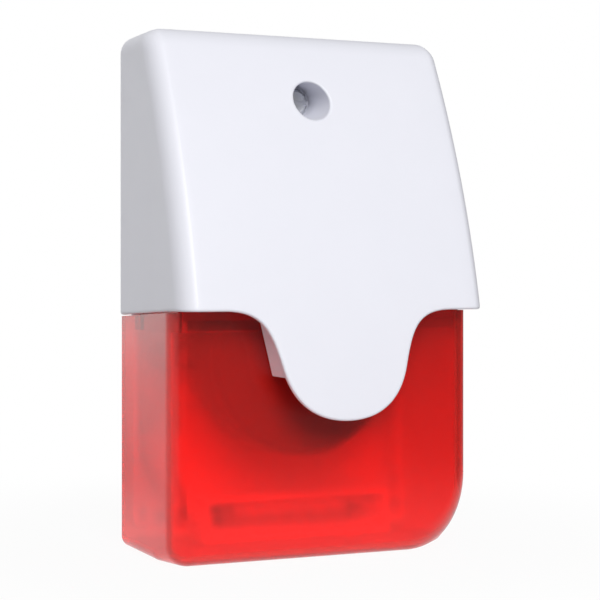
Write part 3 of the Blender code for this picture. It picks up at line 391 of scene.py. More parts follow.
def cover_shell():
    """The wedge-shaped shell, open towards the wall and below."""
    columns = list(reversed(side_columns(-1))) + front_columns() + side_columns(1)
    strips = [cover_column(column) for column in columns]
    size = len(strips[0])
    points = [point for strip in strips for point in strip]
    faces = []
    for i in range(len(strips) - 1):
        faces += band(i * size, (i + 1) * size, size, False)
    last = (len(strips) - 1) * size
    faces.append(tuple(range(size)))
    faces.append(tuple(range(last, last + size)))
    faces.append(tuple(i * size for i in range(len(strips))))
    faces.append(tuple(i * size + size - 1 for i in range(len(strips))))
    faces.append((0, size - 1, last + size - 1, last))
    return mesh_object("cover_shell", points, faces)


def soffit():
    """The floor of the cover in front of the lens."""
    half = HALF_WIDTH - BITE
    depth = front_depth(COVER_EDGE + BITE) - BITE
    corner = FRONT_CORNER - BITE
    right = []
    for turn in reversed(quarter(SOFFIT_STEPS)):
        x = half - corner + corner * math.sin(turn)
        right.append((x, corner - depth - corner * math.cos(turn)))
    rear = -(LENS_DEPTH - LENS_WALL)
    outline = [(half, rear)] + right + [(-x, y) for x, y in reversed(right)] + [(-half, rear)]
    return plate("soffit", outline, COVER_EDGE + SOFFIT_RISE, COVER_EDGE + COVER_WALL)


def hood_wall(side):
    """One of the leaning walls that lead the sound from the outlet to the tongue."""
    head = COVER_EDGE + BITE
    lean = (head - HOOD_FOOT) * math.tan(HOOD_LEAN)
    outline = [(HOOD_HALF - HOOD_WALL, HOOD_FOOT), (HOOD_HALF, HOOD_FOOT),
               (HOOD_HALF + lean, head), (HOOD_HALF - HOOD_WALL + lean, head)]
    rear = [(side * x, -LENS_DEPTH - LENS_GAP, z) for x, z in outline]
    front = [(side * x, BITE - front_depth(z), z) for x, z in outline]
    return soften(skin("hood_wall", [rear, front]), HOOD_EDGE)


def cover_bosses():
    """The screw's tube, whose front end follows the slope, the lens's bosses and the pusher."""
    radius, rear = SCREW_TUBE
    rim = [(radius * math.cos(turn), radius * math.sin(turn)) for turn in circle(TUBE_SIDES)]
    rim = [(x, SCREW_Z + rise) for x, rise in rim]
    bosses = [skin("tube", [[(x, -rear, z) for x, z in rim],
                            [(x, BITE - front_depth(z), z) for x, z in rim]])]
    for side in (-1, 1):
        bosses.append(rod("boss", (side * EAR_X, EAR_Z), BOSS_RADIUS, -BOSS_FRONT, -BOSS_REAR))
    bosses.append(rod("pusher", PUSHER, PUSHER_RADIUS, -PUSHER_FRONT, -PUSHER_REAR))
    return bosses


def cover_bores():
    """Room for the screw's cup, and the holes for the lens's screws."""
    ends = (-BORE_FRONT, PAST - CUP_REAR)
    bores = [rod("cup_room", (0.0, RECESS_Z), CUP_RADIUS, *ends, CUP_SIDES)]
    for side in (-1, 1):
        ends = (-PILOT_END, PAST - BOSS_REAR)
        bores.append(rod("pilot", (side * EAR_X, EAR_Z), PILOT_RADIUS, *ends, HOLE_SIDES))
    return bores


def screw_cup():
    """The recess for the screw, with a rounded mouth that follows the slope of the front."""
    profile = [(CUP_RADIUS, 0.0, None), (CUP_RADIUS - CUP_STEP, 0.0, None)]
    for turn in quarter(LIP_STEPS):
        reach = RECESS_LIP * (1 - math.sin(turn))
        profile.append((RECESS_MOUTH + reach, RECESS_LIP * (1 - math.cos(turn)), None))
    room, room_front = RETAINER_ROOM
    for radius, depth in ((RECESS_RADIUS, SEAT_DEPTH + SEAT_EDGE),
                          (RECESS_RADIUS - SEAT_EDGE, SEAT_DEPTH), (SCREW_HOLE, SEAT_DEPTH),
                          (SCREW_HOLE, room_front), (room, room_front), (room, CUP_REAR)):
        profile.append((radius, 0.0, -depth))
    profile.append((CUP_RADIUS, RECESS_Z - SCREW_Z, -CUP_REAR))
    rings = []
    for radius, drop, y in profile:
        ring = []
        for turn in circle(CUP_SIDES):
            x, rise = radius * math.cos(turn), radius * math.sin(turn)
            if y is None:
                ring.append((x, drop - front_depth(RECESS_Z + rise), RECESS_Z + rise))
            else:
                ring.append((x, y, SCREW_Z + drop + rise))
        rings.append(ring)
    return mesh_object("cup", *rings_body(rings, False))


def attach(target, part):
    """Add a piece that fills its own room in the target, as it is."""
    bm = bmesh.new()
    bm.from_mesh(target.data)
    bm.from_mesh(part.data)
    bm.to_mesh(target.data)
    bm.free()
    bpy.data.objects.remove(part, do_unlink=True)


def build_cover():
    cover = cover_shell()
    combine(cover, "UNION", [soffit(), hood_wall(-1), hood_wall(1)] + cover_bosses())
    combine(cover, "DIFFERENCE", cover_bores())
    attach(cover, screw_cup())
    shade(cover)
    even_light(cover)
    cover.name = "fine_cover"
    return cover


# Lens

def lens_ring(depth, inset):
    """The lens's section at a depth, from the upper right end round to the upper left one."""
    front = LENS_DEPTH - inset
    edge = LENS_EDGE - inset
    past = max(depth - (front - edge), 0.0)
    turn = edge - math.sqrt(max(edge * edge - past * past, 0.0))
    growth = min(max((depth - CORNER_START) / (LENS_DEPTH - CORNER_START), 0.0), 1.0)
    half = LENS_HALF - inset - SIDE_EDGE * turn
    low = inset + turn
    top = edge_height(depth) - LENS_GAP
    halves = {}
    for side, face_corner in FACE_CORNERS.items():
        corner = REAR_CORNER + (face_corner - REAR_CORNER) * growth
        corner = max(corner - inset - turn, LEAST_LENS_CORNER)
        points = [(half, z) for z in spread(top, low + corner, LENS_UP_STEPS)[:-1]]
        for a in quarter(LENS_CORNER_STEPS):
            x = half - corner + corner * math.cos(a)
            points.append((x, low + corner - corner * math.sin(a)))
        halves[side] = [(side * x, z) for x, z in points]
    return [(x, -depth, z) for x, z in halves[1] + list(reversed(halves[-1]))]


def lens_depths(inset):
    """Depths of the lens's sections, closer together where its corners and edge turn."""
    edge = LENS_EDGE - inset
    flat_end = LENS_DEPTH - inset - edge
    depths = [WALL_GAP, *REAR_DEPTHS] + spread(CORNER_START, flat_end, LENS_DEPTH_STEPS)
    return depths + [flat_end + edge * math.sin(a) for a in quarter(LENS_EDGE_STEPS)[1:]]


def lens_shell():
    """The lens's bowl, an outer and an inner skin that meet along the open edges."""
    outer = [lens_ring(depth, 0.0) for depth in lens_depths(0.0)]
    inner = [lens_ring(depth, LENS_WALL) for depth in lens_depths(LENS_WALL)]
    size = len(outer[0])
    rows = len(outer)
    start = rows * size
    points = [point for ring in outer + inner for point in ring]
    faces = []
    for i in range(rows - 1):
        faces += band(i * size, (i + 1) * size, size, False)
        faces += band(start + i * size, start + (i + 1) * size, size, False)
    faces += band(0, start, size, False)
    faces.append(tuple((rows - 1) * size + i for i in range(size)))
    faces.append(tuple(start + (rows - 1) * size + i for i in range(size)))
    right = [i * size for i in range(rows)]
    left = [i * size + size - 1 for i in reversed(range(rows))]
    inside_left = [start + i * size + size - 1 for i in range(rows)]
    inside_right = [start + i * size for i in reversed(range(rows))]
    faces.append(tuple(right + left + inside_left + inside_right))
    return mesh_object("lens_shell", points, faces)


def lens_rims():
    """Rims that slide into the cover, with the screw ears on them."""
    top = COVER_EDGE - LENS_GAP
    out, near = SLIDE_OUT - SLIDE_WALL, SLIDE_FRONT - SLIDE_WALL
    rim = [(SLIDE_OUT, -SLIDE_REAR), (SLIDE_OUT, -SLIDE_FRONT), (SLIDE_NEAR, -SLIDE_FRONT),
           (SLIDE_NEAR, -near), (out, -near), (out, -SLIDE_REAR)]
    side_end, front_end = LENS_HALF - BITE, LENS_DEPTH - BITE
    gap = ROOT_INSET
    root = [(side_end, -SLIDE_REAR - gap), (out + gap, -SLIDE_REAR - gap), (out + gap, gap - near),
            (SLIDE_NEAR + gap, gap - near), (SLIDE_NEAR + gap, -front_end),
            (side_end - ROOT_CORNER, -front_end), (side_end, ROOT_CORNER - front_end)]
    ear = [(EAR_NEAR, EAR_LOW + EAR_CORNER), (EAR_NEAR + EAR_CORNER, EAR_LOW), (EAR_FAR, EAR_LOW),
           (EAR_FAR, EAR_TOP), (EAR_NEAR + EAR_CORNER, EAR_TOP), (EAR_NEAR, EAR_TOP - EAR_CORNER)]
    pieces = []
    for side in (-1, 1):
        outline = [(side * x, y) for x, y in rim]
        pieces.append(plate("rim", outline, top - SLIDE_ROOT, top + SLIDE_RISE))
        outline = [(side * x, y) for x, y in root]
        pieces.append(plate("root", outline, top - SLIDE_ROOT + gap, top - ROOT_TOP))
        rings = [[(side * x, -depth, z) for x, z in ear] for depth in (EAR_FRONT, EAR_REAR)]
        pieces.append(skin("ear", rings))
    return pieces


def lens_cuts():
    """The sound outlet, the slots for the base's hooks and the holes in the ears."""
    inside = LENS_DEPTH - LENS_WALL
    cuts = [block("window", (-WINDOW_HALF, -LENS_DEPTH - PAST, WINDOW_LOW),
                  (WINDOW_HALF, PAST - inside, WINDOW_TOP))]
    for side in (-1, 1):
        middle = side * HOOK_X
        cuts.append(block("slot", (middle - HOOK_HALF, -HOOK_FRONT, -PAST),
                          (middle + HOOK_HALF, -HOOK_REAR, LENS_WALL + PAST)))
        ends = (-EAR_FRONT - PAST, PAST - EAR_REAR)
        cuts.append(rod("ear_hole", (side * EAR_X, EAR_Z), PILOT_RADIUS, *ends, HOLE_SIDES))
    return cuts


def build_lens():
    lens = lens_shell()
    combine(lens, "UNION", lens_rims())
    combine(lens, "DIFFERENCE", lens_cuts())
    shade(lens)
    even_light(lens)
    lens.name = "fine_lens"
    return lens


# Details of the inside

BOARD_FACE = 9.6
BOARD_HOLES = ((-21.5, 78.5), (21.5, 78.5), (-21.5, 113.5), (21.5, 113.5))
TRACK_THICK = 0.06
PAD_OUTER, PAD_INNER = 3.1, 1.25
PAD_THICK = 0.07
PAD_EDGE = 0.02
SOLDER_RADIUS, SOLDER_RISE = 0.85, 0.55
SOLDER_TIP = 0.2
SOLDER_HOLLOW = 1.6
LEG_THICK = 0.3
LEG_BEND = 0.1
# Places of legs, both edges of the body, rise above the board, reach from the edge, and width
CHIP_LEGS = ((-8.31, -5.77, -3.23, -0.69), (91.8, 98.2), 1.9, 0.9, 1.1)
SWITCH_LEGS = ((11.8, 16.2), (79.2, 86.8), 1.2, 0.8, 0.9)
BOBBIN_LEGS = ((12.2, 15.5, 18.8), (94.0, 106.0), 1.5, 1.0, 0.7)
STROBE_CAN = (-15.5, -14.6)  # the axis of the strobe's capacitor, which is upright
STROBE_RADIUS = 5.0
STROBE_LOW, STROBE_TOP = 90.0, 109.0
STROBE_SCORED = 4.2
STROBE_STRIPE = ((92.8, 108.4), -75)  # both ends, and the middle in degrees
STROBE_WIRES = (-17.5, -13.5)
WIRE_RADIUS = 0.35
WIRE_BEND = 0.9
WIRE_STRAIGHT = 0.3
FILTER_CAN = (5.5, 91.0)  # the axis of the filter's capacitor, which points to the front
FILTER_RADIUS = 3.2
FILTER_TOP = 20.7
FILTER_SCORED = 2.5
FILTER_STRIPE = ((-12.4, -20.0), 200)
STRIPE_HALF = 24
STRIPE_PROUD, STRIPE_SUNK = 0.04, 0.05
DISC_THICK = 0.14
DISC_FALL, DISC_SLOPE = 0.04, 0.15
SCORE_HALF = 0.16
SCORE_MARGIN = 0.7
SCORE_FLOOR, SCORE_HEAD = 0.06, 0.5
TERMINALS = (-13.5, -8.5, -3.5, 1.5)
ENTRY_DEPTH = 12.6
CLAMP_OUTER, CLAMP_INNER = 1.57, 1.2
CLAMP_LOW, CLAMP_TOP = 77.0, 80.2
TUBE_AXIS = (-14.2, 8.0)
TUBE_RADIUS = 2.4
TUBE_HALF = 20.0
TUBE_NECK, HOLLOW_NECK = 0.45, 0.35  # shares of the radius at the glass's ends
TUBE_SHOULDER = 1.8
GLASS_WALL = 0.6
GLASS_END = 1.2
# Radii of an electrode and their places along the tube
BEAD = ((0.45, 18.9), (0.45, 16.6), (0.95, 16.4), (1.05, 15.4), (0.7, 14.9))
TRIGGER_RADIUS = 0.12
TRIGGER_HALF = 17.0
TRIGGER_TURNS = 6
TRIGGER_STEPS = 144
BEND_STEPS = 6
SHOULDER_STEPS = 8
STRIPE_STEPS = 12


def gather(name, bodies):
    """One piece of several separate bodies."""
    points, faces = [], []
    for body_points, body_faces in bodies:
        start = len(points)
        points += body_points
        faces += [tuple(start + i for i in face) for face in body_faces]
    return mesh_object(name, points, faces)


def wire(points, radius, sides=10):
    """A round wire through points."""
    rings = []
    route = [Vector(point) for point in points]
    across = None
    for i, spot in enumerate(route):
        way = (route[min(i + 1, len(route) - 1)] - route[max(i - 1, 0)]).normalized()
        if across is None:
            across = way.orthogonal()
        across = (across - way * across.dot(way)).normalized()
        third = way.cross(across)
        ring = []
        for turn in circle(sides):
            ring.append(tuple(spot + (across * math.cos(turn) + third * math.sin(turn)) * radius))
        rings.append(ring)
    return rings_body(rings)


def track(route, width):
    """A flat conductor on the board, through points seen from the front."""
    rings = []
    spots = [Vector(point) for point in route]
    for i, spot in enumerate(spots):
        before = (spot - spots[i - 1]).normalized() if i else None
        after = (spots[i + 1] - spot).normalized() if i + 1 < len(spots) else None
        way = ((before or after) + (after or before)).normalized()
        stretch = 1 / max(way.dot(after or before), 0.5)
        side = Vector((-way.y, way.x)) * width / 2 * stretch
        ring = []
        for shift, rise in ((-1, 0.0), (1, 0.0), (1, TRACK_THICK), (-1, TRACK_THICK)):
            ring.append((spot.x + shift * side.x, -BOARD_FACE - rise, spot.y + shift * side.y))
        rings.append(ring)
    return rings_body(rings)


def bare_ring(x, z):
    """A flat ring of bare metal on the board."""
    top = -BOARD_FACE - PAD_THICK
    profile = [(PAD_OUTER, -BOARD_FACE), (PAD_OUTER - PAD_EDGE, top), (PAD_INNER, top),
               (PAD_INNER, -BOARD_FACE)]
    return turned(profile, (x, z), "Y", 32, False)


def solder(x, z):
    """A fillet of solder, hollow at its sides, round a wire's end."""
    profile = []
    for share in spread(0, 1, BEND_STEPS):
        radius = SOLDER_RADIUS * (1 - share) ** SOLDER_HOLLOW + SOLDER_TIP
        profile.append((radius, -BOARD_FACE - TRACK_THICK - SOLDER_RISE * share))
    return turned(profile, (x, z), "Y", 20)


def bent_leg(x, edge, way, rise, reach, width):
    """A flat leg that leaves a body at an edge, turns down and stands on the board."""
    top, foot = -BOARD_FACE - rise, -BOARD_FACE
    under = top + LEG_THICK
    root, outer = edge - LEG_BEND * way, edge + reach * way
    inner = edge + (reach - LEG_THICK) * way
    profile = [(root, top), (inner, top), (outer, under), (outer, foot), (inner, foot),
               (inner, under + LEG_BEND), (inner - LEG_BEND * way, under), (root, under)]
    return rings_body([[(x + shift * width / 2, y, z) for z, y in profile] for shift in (-1, 1)])


def legs_and_joints():
    """Metal legs of the chip, switch, bobbin and capacitor, and the solder round each foot."""
    legs, joints = [], []
    for places, edges, rise, reach, width in (CHIP_LEGS, SWITCH_LEGS, BOBBIN_LEGS):
        for x in places:
            for edge, way in zip(edges, (-1, 1)):
                legs.append(bent_leg(x, edge, way, rise, reach, width))
                joints.append(solder(x, edge + (reach - LEG_THICK / 2) * way))
    y = STROBE_CAN[1]
    start = STROBE_LOW - WIRE_STRAIGHT
    for x in STROBE_WIRES:
        route = [(x, y, STROBE_LOW + WIRE_STRAIGHT)]
        for turn in quarter(BEND_STEPS):
            rear = y + WIRE_BEND * (1 - math.cos(turn))
            route.append((x, rear, start - WIRE_BEND * math.sin(turn)))
        legs.append(wire(route + [(x, -BOARD_FACE, start - WIRE_BEND)], WIRE_RADIUS))
        joints.append(solder(x, start - WIRE_BEND))
    return gather("fine_legs", legs), gather("fine_solder", joints)


def board_tracks():
    """Conductors under the board's lacquer, and the bare rings round its screw holes."""
    routes = (
        (((-13.5, 84.0), (-13.5, 88.8)), 1.4),
        (((-8.5, 84.0), (-8.5, 87.5), (-8.31, 91.0)), 1.0),
        (((-3.5, 84.0), (-3.5, 85.6), (-5.77, 87.9), (-5.77, 91.0)), 1.0),
        (((1.5, 84.0), (1.5, 88.0), (4.5, 91.0)), 1.4),
        (((-0.69, 91.0), (0.6, 89.7), (0.6, 86.0)), 0.8),
        (((-8.31, 99.0), (-8.31, 108.5), (-4.3, 112.5), (9.0, 112.5), (12.2, 109.3),
          (12.2, 106.9)), 0.8),
        (((-5.77, 99.0), (-5.77, 100.6), (-7.0, 101.8), (-7.0, 107.5), (-3.4, 111.1),
          (5.0, 111.1), (7.3, 108.8), (7.3, 97.0), (9.4, 94.9), (9.4, 93.1), (12.2, 93.1)), 0.8),
        (((-3.23, 99.0), (-3.23, 99.8), (-2.2, 100.4), (3.8, 100.4), (5.9, 98.3),
          (5.9, 95.0)), 0.9),
        (((-0.69, 99.0), (2.0, 99.0), (4.3, 96.7), (4.3, 94.0)), 0.7),
        (((-17.5, 88.8), (-19.2, 87.1), (-19.2, 84.0), (-17.0, 81.8), (-16.0, 81.8)), 1.2),
        (((-22.4, 82.4), (-22.4, 109.8)), 1.5),
        (((-22.4, 110.5), (-20.6, 112.3), (-10.5, 112.3), (-9.6, 111.4), (-9.6, 99.9)), 1.1),
        (((18.8, 93.1), (21.4, 93.1), (22.6, 91.9), (22.6, 83.5)), 0.9),
        (((16.2, 87.5), (16.2, 88.2)), 0.8),
        (((18.8, 106.9), (18.8, 109.0), (16.2, 111.6), (14.0, 114.2), (-12.0, 114.2)), 0.8),
        (((6.2, 78.0), (9.6, 78.4), (11.8, 78.4)), 0.9))
    tracks = gather("fine_tracks", [track(route, width) for route, width in routes])
    rings = [bare_ring(x, z) for x, z in BOARD_HOLES]
    return tracks, gather("fine_pads", rings)


def scored_top(name, centre, radius, axis, at, way):
    """The bare metal top of a can, scored with a cross so that it can vent."""
    top = at + DISC_THICK * way
    profile = [(radius, at), (radius, top - DISC_FALL * way), (radius - DISC_SLOPE, top)]
    disc = mesh_object(name, *turned(profile, centre, axis, 48))
    low, high = sorted((at + SCORE_FLOOR * way, at + SCORE_HEAD * way))
    arm = radius - SCORE_MARGIN
    cuts = []
    for wide, tall in ((arm, SCORE_HALF), (SCORE_HALF, arm)):
        first = on_axis(axis, centre[0] - wide, centre[1] - tall, low)
        last = on_axis(axis, centre[0] + wide, centre[1] + tall, high)
        cuts.append(block("score", first, last))
    combine(disc, "DIFFERENCE", cuts)
    return disc


def sleeve_stripe(centre, radius, axis, ends, middle):
    """The pale stripe along a can's sleeve, on the side of its minus wire."""
    shifts = spread(-STRIPE_HALF, STRIPE_HALF, STRIPE_STEPS)
    arc = [math.radians(middle + shift) for shift in shifts]
    section = [(turn, radius + STRIPE_PROUD) for turn in arc]
    section += [(turn, radius - STRIPE_SUNK) for turn in reversed(arc)]
    rings = []
    for along in ends:
        ring = []
        for turn, reach in section:
            u, v = centre[0] + reach * math.cos(turn), centre[1] + reach * math.sin(turn)
            ring.append(on_axis(axis, u, v, along))
        rings.append(ring)
    return rings_body(rings)


def clamp_cages():
    """A square metal clamp inside each wire entry of the terminal strip."""
    profile = ((CLAMP_OUTER, CLAMP_LOW), (CLAMP_OUTER, CLAMP_TOP),
               (CLAMP_INNER, CLAMP_TOP), (CLAMP_INNER, CLAMP_LOW))
    corners = ((-1, -1), (1, -1), (1, 1), (-1, 1))
    cages = []
    for x in TERMINALS:
        rings = []
        for half, z in profile:
            rings.append([(x + half * u, half * v - ENTRY_DEPTH, z) for u, v in corners])
        cages.append(rings_body(rings, False))
    return gather("fine_clamps", cages)


def glass_skin(radius, neck, half):
    """One skin of the flash tube, drawn in to a neck at both ends."""
    profile = []
    for turn in quarter(SHOULDER_STEPS):
        share = neck + (1 - neck) * math.sin(turn)
        profile.append((radius * share, TUBE_SHOULDER * (1 - math.cos(turn)) - half))
    profile += [(reach, -along) for reach, along in reversed(profile)]
    return turned(profile, TUBE_AXIS, "X", 40)


def flash_tube():
    """A hollow glass tube with its electrodes and the trigger wire wound round it."""
    skins = [glass_skin(TUBE_RADIUS, TUBE_NECK, TUBE_HALF),
             glass_skin(TUBE_RADIUS - GLASS_WALL, HOLLOW_NECK, TUBE_HALF - GLASS_END)]
    metal = []
    for side in (-1, 1):
        bead = [(radius, side * along) for radius, along in BEAD]
        metal.append(turned(bead, TUBE_AXIS, "X", 20))
    helix = []
    reach = TUBE_RADIUS + TRIGGER_RADIUS
    for share in spread(0, 1, TRIGGER_STEPS):
        turn = 2 * math.pi * TRIGGER_TURNS * share
        u, v = TUBE_AXIS[0] + reach * math.cos(turn), TUBE_AXIS[1] + reach * math.sin(turn)
        helix.append((TRIGGER_HALF * (2 * share - 1), u, v))
    metal.append(wire(helix, TRIGGER_RADIUS, 8))
    return gather("fine_tube", skins), gather("fine_electrodes", metal)


# Materials

GRAIN = 0.02 * MM
PALER = 1.12
LEAST_GLOSS, MOST_GLOSS = 0.85, 1.15
WAVE_LENGTH = 2 * math.pi / 20  # of a wave texture at a scale of 1


def new_material(name, colour, roughness, metallic=0.0):
    material = bpy.data.materials.new(name)
    material.use_nodes = True
    shader = material.node_tree.nodes["Principled BSDF"]
    shader.inputs["Base Color"].default_value = (*colour, 1.0)
    shader.inputs["Roughness"].default_value = roughness
    shader.inputs["Metallic"].default_value = metallic
    return material, material.node_tree, shader


def noise(tree, scale, detail=3.0):
    spot = tree.nodes.new("ShaderNodeTexCoord")
    texture = tree.nodes.new("ShaderNodeTexNoise")
    texture.inputs["Scale"].default_value = scale
    texture.inputs["Detail"].default_value = detail
    tree.links.new(spot.outputs["Object"], texture.inputs["Vector"])
    return texture.outputs["Fac"]


def ranged(tree, value, low, high, span=None):
    """A value between 0 and 1, or in a span with soft ends, carried over to another range."""
    change = tree.nodes.new("ShaderNodeMapRange")
    if span:
        change.interpolation_type = "SMOOTHSTEP"
        change.inputs["From Min"].default_value, change.inputs["From Max"].default_value = span
    change.inputs["To Min"].default_value = low
    change.inputs["To Max"].default_value = high
    tree.links.new(value, change.inputs["Value"])
    return change.outputs["Result"]


def calculate(tree, operation, first, second):
    node = tree.nodes.new("ShaderNodeMath")
    node.operation = operation
    tree.links.new(first, node.inputs[0])
    tree.links.new(second, node.inputs[1])
    return node.outputs[0]


def bump(tree, shader, value, distance, strength=1.0):
    node = tree.nodes.new("ShaderNodeBump")
    node.inputs["Distance"].default_value = distance
    node.inputs["Strength"].default_value = strength
    tree.links.new(value, node.inputs["Height"])
    tree.links.new(node.outputs["Normal"], shader.inputs["Normal"])


def mixed(tree, shader, factor, dark, light):
    """A base colour between two."""
    mix = tree.nodes.new("ShaderNodeMix")
    mix.data_type = "RGBA"
    mix.inputs["A"].default_value = (*dark, 1.0)
    mix.inputs["B"].default_value = (*light, 1.0)
    tree.links.new(factor, mix.inputs["Factor"])
    tree.links.new(mix.outputs["Result"], shader.inputs["Base Color"])


def mottled(tree, shader, dark, light, scale):
    mixed(tree, shader, noise(tree, scale), dark, light)


def uneven_gloss(tree, shader, low, high, scale):
    tree.links.new(ranged(tree, noise(tree, scale), low, high), shader.inputs["Roughness"])


def surface_mix(tree, factor, first, second):
    """A surface between two shaders."""
    mix = tree.nodes.new("ShaderNodeMixShader")
    tree.links.new(factor, mix.inputs["Fac"])
    tree.links.new(first.outputs[0], mix.inputs[1])
    tree.links.new(second.outputs[0], mix.inputs[2])
    tree.links.new(mix.outputs[0], tree.nodes["Material Output"].inputs["Surface"])


def white_plastic():
    material, tree, shader = new_material("white plastic", (0.84, 0.845, 0.915), 0.35)
    mottled(tree, shader, (0.83, 0.835, 0.905), (0.85, 0.855, 0.925), 90.0)
    uneven_gloss(tree, shader, 0.4, 0.5, 220.0)
    bump(tree, shader, noise(tree, 2600.0, 2.0), GRAIN, 0.35)
    return material


def red_lens():
    material, tree, shader = new_material("red clear plastic", (0.985, 0.029, 0.02), 0.14)
    shader.inputs["IOR"].default_value = 1.49
    shader.inputs["Transmission Weight"].default_value = 0.84
    mottled(tree, shader, (0.98, 0.026, 0.018), (0.99, 0.032, 0.022), 120.0)
    uneven_gloss(tree, shader, 0.2, 0.26, 60.0)
    let_lamps_through(tree, shader, (0.99, 0.1, 0.06))
    return material


def let_lamps_through(tree, shader, tint):
    """Lamps shine through a clear piece in its own colour."""
    path = tree.nodes.new("ShaderNodeLightPath")
    clear = tree.nodes.new("ShaderNodeBsdfTransparent")
    clear.inputs["Color"].default_value = (*tint, 1.0)
    surface_mix(tree, path.outputs["Is Shadow Ray"], shader, clear)


def plain(name, colour, roughness, metallic=0.0):
    """A moulded or metal surface with a little life in its colour, gloss and grain."""
    material, tree, shader = new_material(name, colour, roughness, metallic)
    light = tuple(min(c * PALER, 1.0) for c in colour)
    mottled(tree, shader, colour, light, 150.0)
    uneven_gloss(tree, shader, LEAST_GLOSS * roughness, MOST_GLOSS * roughness, 400.0)
    bump(tree, shader, noise(tree, 2000.0, 2.0), GRAIN, 0.3)
    return material


def wear(thing, material):
    thing.data.materials.clear()
    thing.data.materials.append(material)


def smoothing():
    """A node group that joins a solid's facets and shades them smooth below an angle."""
    group = bpy.data.node_groups.new("smooth facets", "GeometryNodeTree")
    group.interface.new_socket("Geometry", in_out="INPUT", socket_type="NodeSocketGeometry")
    group.interface.new_socket("Geometry", in_out="OUTPUT", socket_type="NodeSocketGeometry")
    make, link = group.nodes.new, group.links.new
    start, end = make("NodeGroupInput"), make("NodeGroupOutput")
    bare = make("GeometryNodeRemoveAttribute")
    bare.inputs["Name"].default_value = "custom_normal"
    merged = make("GeometryNodeMergeByDistance")
    merged.inputs["Distance"].default_value = WELD * MM
    faces = make("GeometryNodeSetShadeSmooth")
    edges = make("GeometryNodeSetShadeSmooth")
    edges.domain = "EDGE"
    angle = make("GeometryNodeInputMeshEdgeAngle")
    below = make("FunctionNodeCompare")
    below.operation = "LESS_THAN"
    below.inputs["B"].default_value = CRISP_ANGLE
    link(start.outputs[0], bare.inputs["Geometry"])
    link(bare.outputs[0], merged.inputs["Geometry"])
    link(merged.outputs[0], faces.inputs["Geometry"])
    link(faces.outputs[0], edges.inputs["Geometry"])
    link(angle.outputs["Unsigned Angle"], below.inputs["A"])
    link(below.outputs[0], edges.inputs["Shade Smooth"])
    link(edges.outputs[0], end.inputs[0])
    return group


def banded(name, dark, light, roughness, pitch, way, metallic=0.0):
    """A wound surface: turns of wire or tape side by side along one axis, with painted shade in the
    grooves between them.
    """
    material, tree, shader = new_material(name, light, roughness, metallic)
    spot = tree.nodes.new("ShaderNodeTexCoord")
    wave = tree.nodes.new("ShaderNodeTexWave")
    wave.bands_direction = way
    wave.inputs["Scale"].default_value = WAVE_LENGTH / (pitch * MM)
    wave.inputs["Distortion"].default_value = 0.6
    tree.links.new(spot.outputs["Object"], wave.inputs["Vector"])
    # painted shade: the dark colour lies in the grooves between turns and the light one on their
    # crests, where the bump rises
    mixed(tree, shader, wave.outputs["Fac"], dark, light)
    uneven_gloss(tree, shader, LEAST_GLOSS * roughness, MOST_GLOSS * roughness, 500.0)
    bump(tree, shader, wave.outputs["Fac"], 0.2 * pitch * MM, 0.8)
    return material


def clear_glass():
    material, tree, shader = new_material("glass", (0.96, 0.98, 0.98), 0.02)
    shader.inputs["IOR"].default_value = 1.47
    shader.inputs["Transmission Weight"].default_value = 1.0
    mottled(tree, shader, (0.95, 0.975, 0.98), (0.97, 0.985, 0.985), 200.0)
    uneven_gloss(tree, shader, 0.015, 0.04, 300.0)
    let_lamps_through(tree, shader, (0.94, 0.95, 0.95))
    return material


def palette():
    """Every finish by its name, which is the record's slot where there is one."""
    return {
        "white_plastic": white_plastic(),
        "red_lens": red_lens(),
        "dark_plastic": plain("dark plastic", (0.032, 0.032, 0.036), 0.45),
        "zinc_steel": plain("zinc steel", (0.62, 0.63, 0.65), 0.28, 1.0),
        "brass": plain("brass", (0.72, 0.53, 0.24), 0.3, 1.0),
        "ceramic": plain("silvered ceramic", (0.74, 0.73, 0.7), 0.4, 0.4),
        "board": plain("board", (0.03, 0.17, 0.06), 0.38),
        "terminal_plastic": plain("terminal plastic", (0.04, 0.15, 0.38), 0.42),
        "ferrite": plain("ferrite", (0.055, 0.055, 0.06), 0.62),
        # winding tape and enamelled wire carry bands of painted shade between their turns
        "winding_tape": banded("winding tape", (0.6, 0.44, 0.06), (0.78, 0.6, 0.1), 0.32, 1.6, "Y"),
        "coil": banded("enamelled wire", (0.3, 0.1, 0.03), (0.72, 0.33, 0.12), 0.3, 0.45, "X", 0.7),
        "sleeve": plain("capacitor sleeve", (0.035, 0.042, 0.11), 0.32),
        "stripe": plain("sleeve stripe", (0.6, 0.62, 0.66), 0.34),
        "mirror": plain("metallised plastic", (0.95, 0.945, 0.92), 0.48, 0.08),
        "glass": clear_glass(),
        "red_lead": plain("red lead", (0.5, 0.025, 0.025), 0.4),
        "black_lead": plain("black lead", (0.022, 0.022, 0.024), 0.42),
        "track": plain("lacquered track", (0.06, 0.28, 0.1), 0.34, 0.15),
        "epoxy": plain("black epoxy", (0.022, 0.022, 0.023), 0.55),
        "tin": plain("tinned metal", (0.7, 0.7, 0.69), 0.22, 1.0),
        "aluminium": plain("aluminium", (0.8, 0.8, 0.81), 0.34, 1.0)}


# Nodes by their finish; the screws, which aren't listed, are zinc steel

